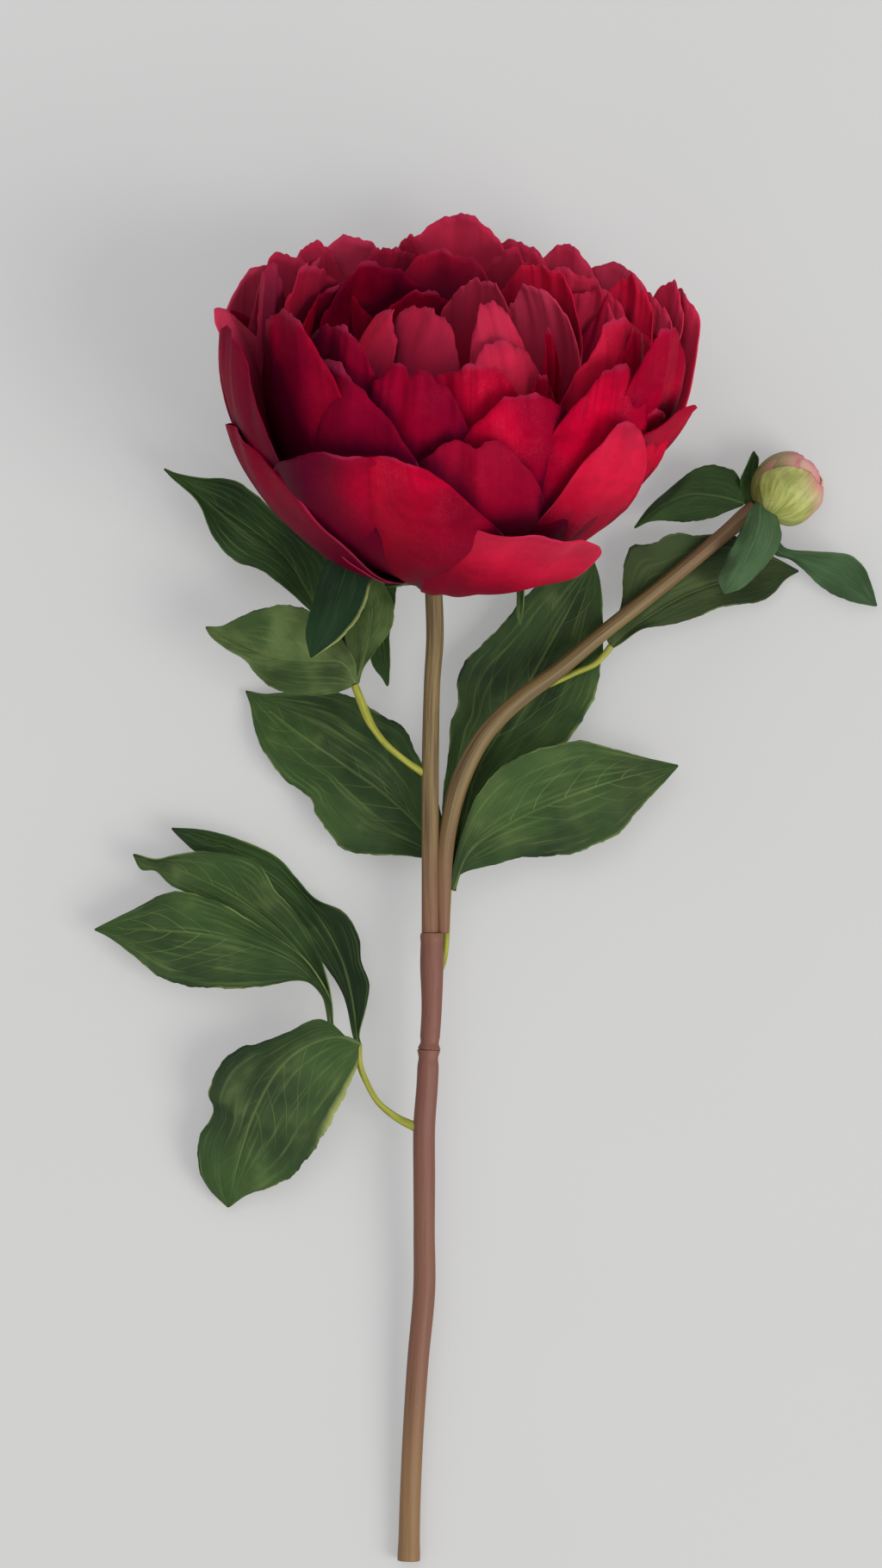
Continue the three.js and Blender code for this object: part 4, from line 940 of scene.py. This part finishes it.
LEAVES["upper_far"] = dict(
    rib=[(-26, -36, -2), (-30, -21.5, -5), (-38.5, -10, -7), (-47, 4.5, -9), (-57.5, 14, -10),
        (-68.5, 21.5, -12), (-78.5, 28.5, -13), (-88, 35, -14)],
    left=[(-28.5, -28.5), (-34.5, -17.5), (-44, -8), (-51, -2), (-57, 2), (-64, 4.5), (-69, 8.5),
        (-73, 15), (-75.5, 21.5), (-78.5, 26), (-85, 31.5)],
    right=[(-25, -28.5), (-26, -14.5), (-29.5, -3.5), (-33, 3.5), (-40, 12), (-50, 19), (-57.5, 26),
        (-65, 31), (-76.5, 32), (-84, 33.5)],
    lift=(2, 3), tint=0,
)
LEAVES["upper_near"] = dict(
    rib=[(-25.5, -35, 4), (-29.5, -28.5, 5), (-40, -28, 5), (-51, -27, 4), (-62.5, -23, 1),
        (-74, -17, -3)],
    left=[(-27.5, -37), (-34.5, -39), (-45.5, -39), (-52.5, -36.5), (-57.5, -32.5), (-61, -28),
        (-67.5, -24), (-72, -20.5)],
    right=[(-26, -27), (-31.5, -19), (-39.5, -12.5), (-47, -10), (-55.5, -11), (-62.5, -13.5),
        (-68.5, -16.5)],
    lift=(3, 2), tint=0.5,
)
LEAVES["upper_right"] = dict(
    rib=[(-25, -35, 3), (-22, -24.5, 1), (-20, -13, -1), (-21, -2, -3), (-26, 7, -5)],
    left=[(-26.5, -28.5), (-29, -19), (-29, -9), (-29.5, -0.5), (-29, 5)],
    right=[(-22.5, -30), (-17.5, -23), (-13.5, -17), (-13, -10), (-16, -3), (-20.5, 5)],
    lift=(-2, -2), tint=0.4,
)
LEAVES["under_bloom"] = dict(
    rib=[(-4, 2, 3), (-12, 8, 5), (-20, 9.5, 8), (-26, 6, 11), (-30, -4, 14), (-34, -15, 16),
        (-39.5, -27.2, 16)],
    left=[(-12, 5), (-18, 5), (-19.5, 1.5), (-21, -6), (-23.2, -12.3), (-27, -18), (-31.6, -22.4)],
    right=[(-14, 12), (-24, 14), (-31, 9), (-35, 3), (-38.9, -9), (-41.2, -19)],
    lift=(-2, -2), tint=0, strip=(-1, 0.4, 1.1),
)
LEAVES["behind_stem"] = dict(
    rib=[(-1, 1, -3), (-8, 6, -7), (-14, 3, -10), (-16.5, -8, -12), (-17, -20, -13), (-15, -36, -14)],
    left=[(-7, 3), (-11, 3), (-11.7, 1), (-12.6, -9), (-14.3, -19), (-14.2, -29)],
    right=[(-7, 9), (-14, 10), (-20, 4), (-21.5, -8), (-21.5, -20), (-20, -29), (-17, -33)],
    lift=(-1, -1), tint=0,
)
LEAVES["sepal_tail"] = dict(
    rib=[(3, -2, -3), (12, 2, -5), (21, 4.2, -5), (27, 2, -3), (28.4, -6, -1), (28.2, -16.5, 0)],
    left=[(12, 4), (22, 7), (27.5, 4.5), (29.4, -3), (29.2, -11)],
    right=[(12, 0), (20, 1.5), (26, 0), (27.2, -6), (27.2, -12)],
    lift=(0.5, 0.5), tint=0.3,
)
LEAVES["middle_left"] = dict(
    rib=[(4, -102.5, -7.6), (-1.5, -86, -9), (-15, -72, -12), (-29, -62, -15), (-44, -51.5, -19),
        (-61.5, -37.5, -24)],
    left=[(2.5, -94), (-9, -91.5), (-26, -90.5), (-32, -86.5), (-38, -78.5), (-40, -73), (-48.5, -66.5),
        (-55.5, -57.5), (-59, -48.5), (-60, -42.5)],
    right=[(3.5, -90), (2, -76), (-3, -63.5), (-7, -54.5), (-10, -49.5), (-19, -44), (-27.5, -39),
        (-37, -37.5), (-48.5, -38), (-55.5, -38.5)],
    lift=(2, 3), tint=0.08,
)
LEAVES["middle_up"] = dict(
    rib=[(5.2, -101.5, -5.2), (8.5, -87.5, -9), (13.5, -66.5, -13), (21.5, -51, -16), (33, -31.5, -18),
        (43.5, -12.5, -18), (52.5, 5, -18)],
    left=[(3, -90), (3, -73.5), (4.5, -62), (5.5, -51), (6, -47), (8, -42.5), (8, -34), (12, -26),
        (22.5, -16), (28.5, -8), (38.5, 0), (46, 3)],
    right=[(9, -93), (15.5, -80.5), (27, -68), (38.5, -58), (46, -51), (52, -41), (55, -28.5), (55.5, -12),
        (54.5, -1)],
    lift=(2, 4), tint=0.1,
)
LEAVES["middle_right"] = dict(
    rib=[(6.5, -102.5, -3.4), (12, -89.5, -4.5), (27, -79.5, -6), (44, -72, -6), (62, -66, -9),
        (80, -62, -14)],
    left=[(6.5, -94.5), (10, -82), (16, -69), (26, -60), (38.5, -55.5), (47.5, -54), (55, -55.5),
        (68, -59)],
    right=[(7.5, -99), (10.5, -96.5), (19, -94.5), (28.5, -92), (38.5, -91.5), (46, -90.5), (55, -87),
        (62, -83), (66, -77.5), (73.5, -69.5)],
    lift=(3, -3), tint=0.16,
)
LEAVES["branch"] = dict(
    rib=[(58, -23, -14), (68, -15, -17), (83, -6, -20), (101.5, 0, -23), (120, 2, -27)],
    left=[(57, -19.5), (61.5, -9), (62.5, 5), (65.5, 10), (70.5, 10.5), (79, 14), (87.5, 13.5), (97, 14),
        (107, 9), (114, 5.5)],
    right=[(61.5, -22), (68, -17.5), (76, -16), (84.5, -14), (94.5, -10), (105.5, -8.5), (111, -6),
        (115.5, -1)],
    lift=(2, 2), tint=0.1,
)
LEAVES["bract_left"] = dict(
    rib=[(101.5, 24, -18), (91.5, 26.5, -17), (80.5, 26, -18), (66, 16, -22)],
    left=[(97, 21.5), (91, 19), (83, 18), (75.5, 18.5), (70.5, 18)],
    right=[(101, 30), (98.5, 34.5), (91.5, 36.5), (85.5, 35), (79, 30), (70.5, 22.5)],
    lift=(-2, -3), tint=0,
)
LEAVES["bract_top"] = dict(
    rib=[(103.5, 23, -20), (103, 30, -20), (105, 41, -20)],
    left=[(100.5, 27), (100.5, 31.5), (102.5, 36)],
    right=[(106.5, 26), (106, 33.5), (106.5, 38.5)],
    lift=(2, 2), tint=0.1,
)
LEAVES["bract_front"] = dict(
    rib=[(107, 24.5, -15.3), (106, 15.5, -10), (101.5, 5, -8), (95, -6, -10)],
    left=[(111, 22), (113.5, 15.5), (113, 10), (108.5, 3.5), (101.5, -3.5)],
    right=[(103.5, 21.5), (100, 14), (96, 6.5), (93, -0.5)],
    lift=(-3, -3), tint=0.15,
)
LEAVES["bract_right"] = dict(
    rib=[(108, 20, -18), (112.5, 9, -18), (122.5, 5.5, -18), (135, 0, -20), (145.5, -9.5, -24)],
    left=[(110, 18), (114, 10.5), (118, 8.5), (126.5, 8), (136, 7), (141, 3), (144, -3.5)],
    right=[(107, 16), (111, 8), (117.5, 5.5), (122.5, 1), (128, -4), (135, -7.5), (140.5, -9)],
    lift=(2, -2), tint=0.1,
)

# Fraying of the edge: how many waves along it, and their size as a share of the half width
FRAYS = ((7.1, 0.010), (15.3, 0.008), (31.7, 0.006))
# The rib under a blade: radius at the base, what it loses per station, and how deep it lies
RIB_RADIUS, RIB_TAPER, RIB_SINK = 0.8, 0.06, 0.5


def leaf_grid(leaf, rows, cols, seed, veins=9):
    """A leaf's middle surface, from its base to its point, with its share along and across."""
    rib = curve(leaf["rib"], rows)

    def square(a, b, reach):
        run = b[:2] - a[:2]
        return np.array([-run[1], run[0]]) / np.hypot(*run) * reach

    base = square(rib[0], rib[1], 1.0)
    end = square(rib[-2], rib[-1], 0.3)
    edges = []
    for hand, outline in ((1, leaf["left"]), (-1, leaf["right"])):
        edges.append(curve([rib[0, :2] + hand * base, *outline, rib[-1, :2] + hand * end], rows))
    s, t = blade_shares(rows, cols)
    reach = np.abs(t)
    edge = np.where((t < 0)[..., None], edges[0][:, None], edges[1][:, None])
    lift = np.where(t < 0, leaf["lift"][0], leaf["lift"][1])
    swell = np.sin(pi * s) ** 0.8
    wave = 1.2 * np.sin(2 * pi * (2.5 * s + np.where(t < 0, 0.25, 0))) * reach**1.5
    grid = np.empty((rows + 1, cols + 1, 3))
    fray = sum(
        a * np.sin(2 * pi * (f * s + chance(seed, k) + (t > 0) * 0.37))
        for k, (f, a) in enumerate(FRAYS)
    )
    spread = reach * (1 + fray * reach**6 * smooth(s, 0.02, 0.15) * smooth(s, 1.0, 0.9))
    for k in (0, 1):
        grid[..., k] = rib[:, None, k] + (edge[..., k] - rib[:, None, k]) * spread
    grid[..., 2] = rib[:, None, 2] + (lift * reach**1.3 + wave) * swell
    # side veins sink in and the cloth between them stands up a little
    bend = reach * VEIN_BEND + reach**2 * (1 - VEIN_BEND)
    run = (s - bend * VEIN_LEAN * (1.2 - s)) * veins + np.sign(t) * VEIN_OFFSET
    puff = 0.22 * (np.abs(np.sin(pi * (run - 0.5))) ** 0.6 - 0.6) * (1 - reach**3) * swell
    rough = 0.25 * np.sin(9 * s + 4 * t + seed) * np.sin(6 * t - 5 * s + 2 * seed)
    channel = -0.7 * np.exp(-((t / 0.07) ** 2)) * (1 - 0.6 * s)
    grid[..., 2] += (puff + rough * swell) * smooth(reach, 0.0, 0.15) + channel * swell
    grid[..., 2] += 1.1 * np.sin(7 * s + 2.5 * t + seed % 7) * reach**2 * swell
    grid[..., 2] += 0.5 * np.sin(17 * s + 3 * t + seed % 5) * reach**3 * swell
    uv = np.stack(np.broadcast_arrays(s, t * 0.5 + 0.5), -1)
    return grid, uv


def leaf_piece(name, node, leaves, skin, veins=9, rows=LEAF_ROWS, cols=LEAF_COLS):
    """Blades and ribs of one piece. Tone's values: pale, back, strip and a number of its own."""
    build = Build()
    for key in leaves:
        leaf = LEAVES[key]
        seed = sum(map(ord, key))
        grid, uv = leaf_grid(leaf, rows, cols, seed, veins)
        grid = grid[:, ::-1]
        uv = uv[:, ::-1]
        tone = np.zeros((rows + 1, cols + 1, 4))
        tone[..., 0] = leaf["tint"]
        tone[..., 3] = chance(seed, 1)
        s, t = uv[..., 0], uv[..., 1] * 2 - 1
        for patch_s, patch_t, size in leaf.get("patches", ()):
            spot = np.exp(-(((s - patch_s) / size) ** 2) - ((t - patch_t) / (2 * size)) ** 2)
            tone[..., 0] = np.maximum(tone[..., 0], 0.8 * spot)
        if "strip" in leaf:
            hand, start, end = leaf["strip"]
            tone[..., 2] = smooth(hand * t, 0.9, 0.97) * smooth(s, start, start + 0.08)
            tone[..., 2] *= smooth(s, end, end - 0.15)
        sheet(build, grid, uv, LEAF_THICKNESS, tone, rest_on_surface)
        spine = curve(leaf["rib"], 12)
        stations = []
        for i, (x, y, z) in enumerate(spine[:11]):
            radius = RIB_RADIUS - RIB_TAPER * i
            stations.append((*rest_on_surface(np.array([x, y, z - RIB_SINK]), radius), radius))
        bar(build, stations, 40, RIB_SIDES, tone=(leaf["tint"] + 0.2, 0.6, 0, 0.5))
    build.piece(name, skin, node)


LOBED = dict(lower_lobed=("lower_lobe", "lower_second_lobe"), upper_lobed=("upper_near", "upper_right"))
# the leaf under the bloom takes the darker copy of the leaf cloth as painted shade
SKINS_BY_PIECE = dict(branch=DULL, under_bloom=SHADED_LEAF, left=BRACT_LEFT, top=BRACT_LEFT)
for name in (
    "lower_lobed", "lower_back", "lower_hanging", "upper_far", "upper_lobed", "under_bloom", "behind_stem",
    "middle_left", "middle_up", "middle_right", "branch",
):
    skin = SKINS_BY_PIECE.get(name, LEAF)
    leaf_piece("blade_" + name, "leaf_" + name, LOBED.get(name, (name,)), skin)
for name in ("left", "top", "front", "right"):
    node = "bract_" + name
    skin = SKINS_BY_PIECE.get(name, BRACT)
    leaf_piece("bractlet_" + name, node, (node,), skin, 6, BRACT_ROWS, BRACT_COLS)

# The bud

BUD_SEAT = np.array([107.6, 20.6, -19.6])
BUD_AXIS = np.array([0.7, 0.7, -0.05]) / np.linalg.norm([0.7, 0.7, -0.05])
BUD_LENGTH = 23.5
BUD_RADIUS = 11
WRAP_FOOT = 0.03  # share of the bud's length at which its petals start
WRAP_FRILL = 0.2  # mm that their rims sway in and out
CORE_INSET = 0.7  # mm that the core lies below the bud's own outline
CORE_LEAST = 0.8  # mm, its least radius
BUD_RIGHT = -np.cross([0, 0, 1], BUD_AXIS)
BUD_RIGHT /= np.linalg.norm(BUD_RIGHT)
BUD_FRONT = np.cross(BUD_RIGHT, BUD_AXIS)


def bud_profile(share):
    """The bud's radius at a share of its length."""
    return BUD_RADIUS * np.sqrt(np.maximum(0, 1 - np.abs(2 * share - 1) ** 2.3))


def bud_wrap(build, seed, middle, spread, reach, lift, tone):
    """One petal of the bud: where it sits round the axis, its spread, reach and standing off."""
    s, t = blade_shares(BUD_ROWS, BUD_COLS)
    crown = 1 - 0.5 * t**2 * (0.25 + 0.75 * t**2)
    crown = crown + 0.015 * np.sin(9 * t + seed) + 0.008 * np.sin(31 * t + seed)
    share = WRAP_FOOT + (reach - WRAP_FOOT) * s * crown
    turn = np.radians(middle + spread * t * (0.5 + 0.5 * np.sin(pi * s * 0.68)))
    radius = bud_profile(share) + lift * smooth(s, 0, 0.45) + 0.3 * np.abs(t) ** 3 * s
    radius = radius + WRAP_FRILL * np.sin(13 * t + seed) * smooth(s, 0.75, 1)
    radius = radius + 0.15 * np.sin(5 * t + 4 * s + seed)
    grid = BUD_SEAT + BUD_AXIS * (BUD_LENGTH * share)[..., None]
    grid = grid + (radius * np.cos(turn))[..., None] * BUD_RIGHT
    grid = grid + (radius * np.sin(turn))[..., None] * BUD_FRONT
    uv = np.stack(np.broadcast_arrays(s, t * 0.5 + 0.5), -1)
    sheet(build, grid, uv, BUD_THICKNESS, tone)


# A core, which the petals wrap
build = Build()
shares = np.array([0.01, 0.05, 0.12, 0.24, 0.4, 0.56, 0.72, 0.85, 0.94, 0.99])
radii = np.maximum(CORE_LEAST, bud_profile(shares) - CORE_INSET)
globe = [(*(BUD_SEAT + BUD_AXIS * BUD_LENGTH * q), r) for q, r in zip(shares, radii)]
bar(build, globe, 40, 36, tone=(1.0, 0, 0.3, 0.3))
# The petals of the bud: middle, spread, reach, standing off, then flushed, back, olive and pale
for seed, wrap in enumerate((
    (250, 60, 0.97, -0.3, (1.0, 0, 0.5, 0.1)),
    (-45, 70, 0.96, 0.1, (0.3, 0, 0.0, 0.85)),
    (-10, 52, 0.98, 0.0, (0.6, 0, 0.0, 0.75)),
    (190, 60, 0.92, 0.3, (0.6, 0, 0.6, 0.0)),
    (146, 62, 0.95, 0.4, (0.8, 0, 0.75, 0.0)),
    (58, 82, 0.84, 0.8, (0.8, 0, 0.0, 0.0)),
)):
    bud_wrap(build, seed, *wrap)
build.piece("bud_wraps", BUD, "bud_petals")

# Sepals under the bloom

SEPAL_ROWS, SEPAL_COLS = 30, 14
TAIL_ROWS, TAIL_COLS = 40, 10
SEPAL_SEED, TAIL_SEED = 90, 7
SEPAL_AZIMUTHS = (38, 75, 112, 150)  # degrees round the bloom's axis

build = Build()
cup = [(*(AXIS * h), r) for h, r in ((-5, 3.4), (-4.4, 4.6), (-3.4, 5.8), (-2.3, 6.2))]
bar(build, cup, 14, 28, tone=(0.2, 0, 0, 0.2))
for k, azimuth in enumerate(SEPAL_AZIMUTHS):
    sepal = dict(
        ORDINARY, tier=5, side=1, bow=0.06, cup=20, curl=-0.1, point=0.4, ruffle=0.3,
        azimuth=radians(azimuth), reach=30 - 2 * k, height=-5, width=13,
    )
    grid, uv = petal_grid(sepal, SEPAL_ROWS, SEPAL_COLS, SEPAL_SEED + k)
    sheet(build, grid, uv, LEAF_THICKNESS, (0.1, 0, 0, chance(k, 21)))
grid, uv = leaf_grid(LEAVES["sepal_tail"], TAIL_ROWS, TAIL_COLS, TAIL_SEED)
sheet(build, grid[:, ::-1], uv[:, ::-1], LEAF_THICKNESS, (0.3, 0, 0, 0.6))
build.piece("sepals", SEPAL, "bloom_sepals")

# Floor, lights and camera

WORLD_LIGHT = 0.7
PAPER_TONES = (0.27,) * 3, (0.29,) * 3
PAPER_GLOW_TONES = (0.99,) * 3, (1.0,) * 3
PAPER_GLOW = 0.27  # keeps the shadows on the floor as light as the picture's
SENSOR = 36  # mm

bpy.ops.object.select_all(action="DESELECT")
bpy.ops.mesh.primitive_plane_add(size=60, location=(0, 0, 0))
floor = bpy.context.object
floor.name = "floor"
made, shader = material("floor_paper", specular=0.1)
paper = noise(place_coords(), 6, 2)
Value.join(shader.inputs["Base Color"], mix(paper, *PAPER_TONES))
Value.join(shader.inputs["Emission Color"], mix(paper, *PAPER_GLOW_TONES))
shader.inputs["Emission Strength"].default_value = PAPER_GLOW
shader.inputs["Roughness"].default_value = 0.95
floor.data.materials.append(made)

bpy.context.scene.view_settings.view_transform = "Standard"

world = bpy.data.worlds.new("studio")
world.use_nodes = True
world.node_tree.nodes["Background"].inputs[0].default_value = (1, 1, 1, 1)
world.node_tree.nodes["Background"].inputs[1].default_value = WORLD_LIGHT
bpy.context.scene.world = world


def area_light(name, place_at, target, width, watts, colour):
    data = bpy.data.lights.new(name, "AREA")
    data.size = width
    data.energy = watts
    data.color = colour
    lamp = linked(name, data)
    lamp.location = place_at
    aim = Vector(target) - Vector(place_at)
    lamp.rotation_euler = aim.to_track_quat("-Z", "Y").to_euler()


# a soft key from the right, and a weak one from above and behind for the far petals
area_light("key", (2.3, -1.3, 2.7), (0, 0.05, 0.05), width=2, watts=99, colour=(1, 0.98, 0.95))
area_light("sky", (-0.6, 1.0, 3.2), (0, 0.1, 0.05), width=2, watts=24, colour=(0.96, 0.98, 1))

data = bpy.data.cameras.new("camera")
camera = linked("camera", data)
bpy.context.scene.camera = camera
data.sensor_fit = "VERTICAL"
data.sensor_height = SENSOR
data.lens = SENSOR * VIEW_DISTANCE / PICTURE_HEIGHT
data.clip_end = 80
eye = Vector(lay([VIEW_ACROSS, VIEW_ALONG, VIEW_DISTANCE]))
aim = Vector(lay([VIEW_ACROSS, VIEW_ALONG, 0]))
upright = (Vector(lay([0, 1, 0])) - Vector(lay([0, 0, 0]))).normalized()
back = (eye - aim).normalized()
side = upright.cross(back).normalized()
turn = Matrix((side, back.cross(side), back)).transposed().to_4x4()
turn.translation = eye
camera.matrix_world = turn
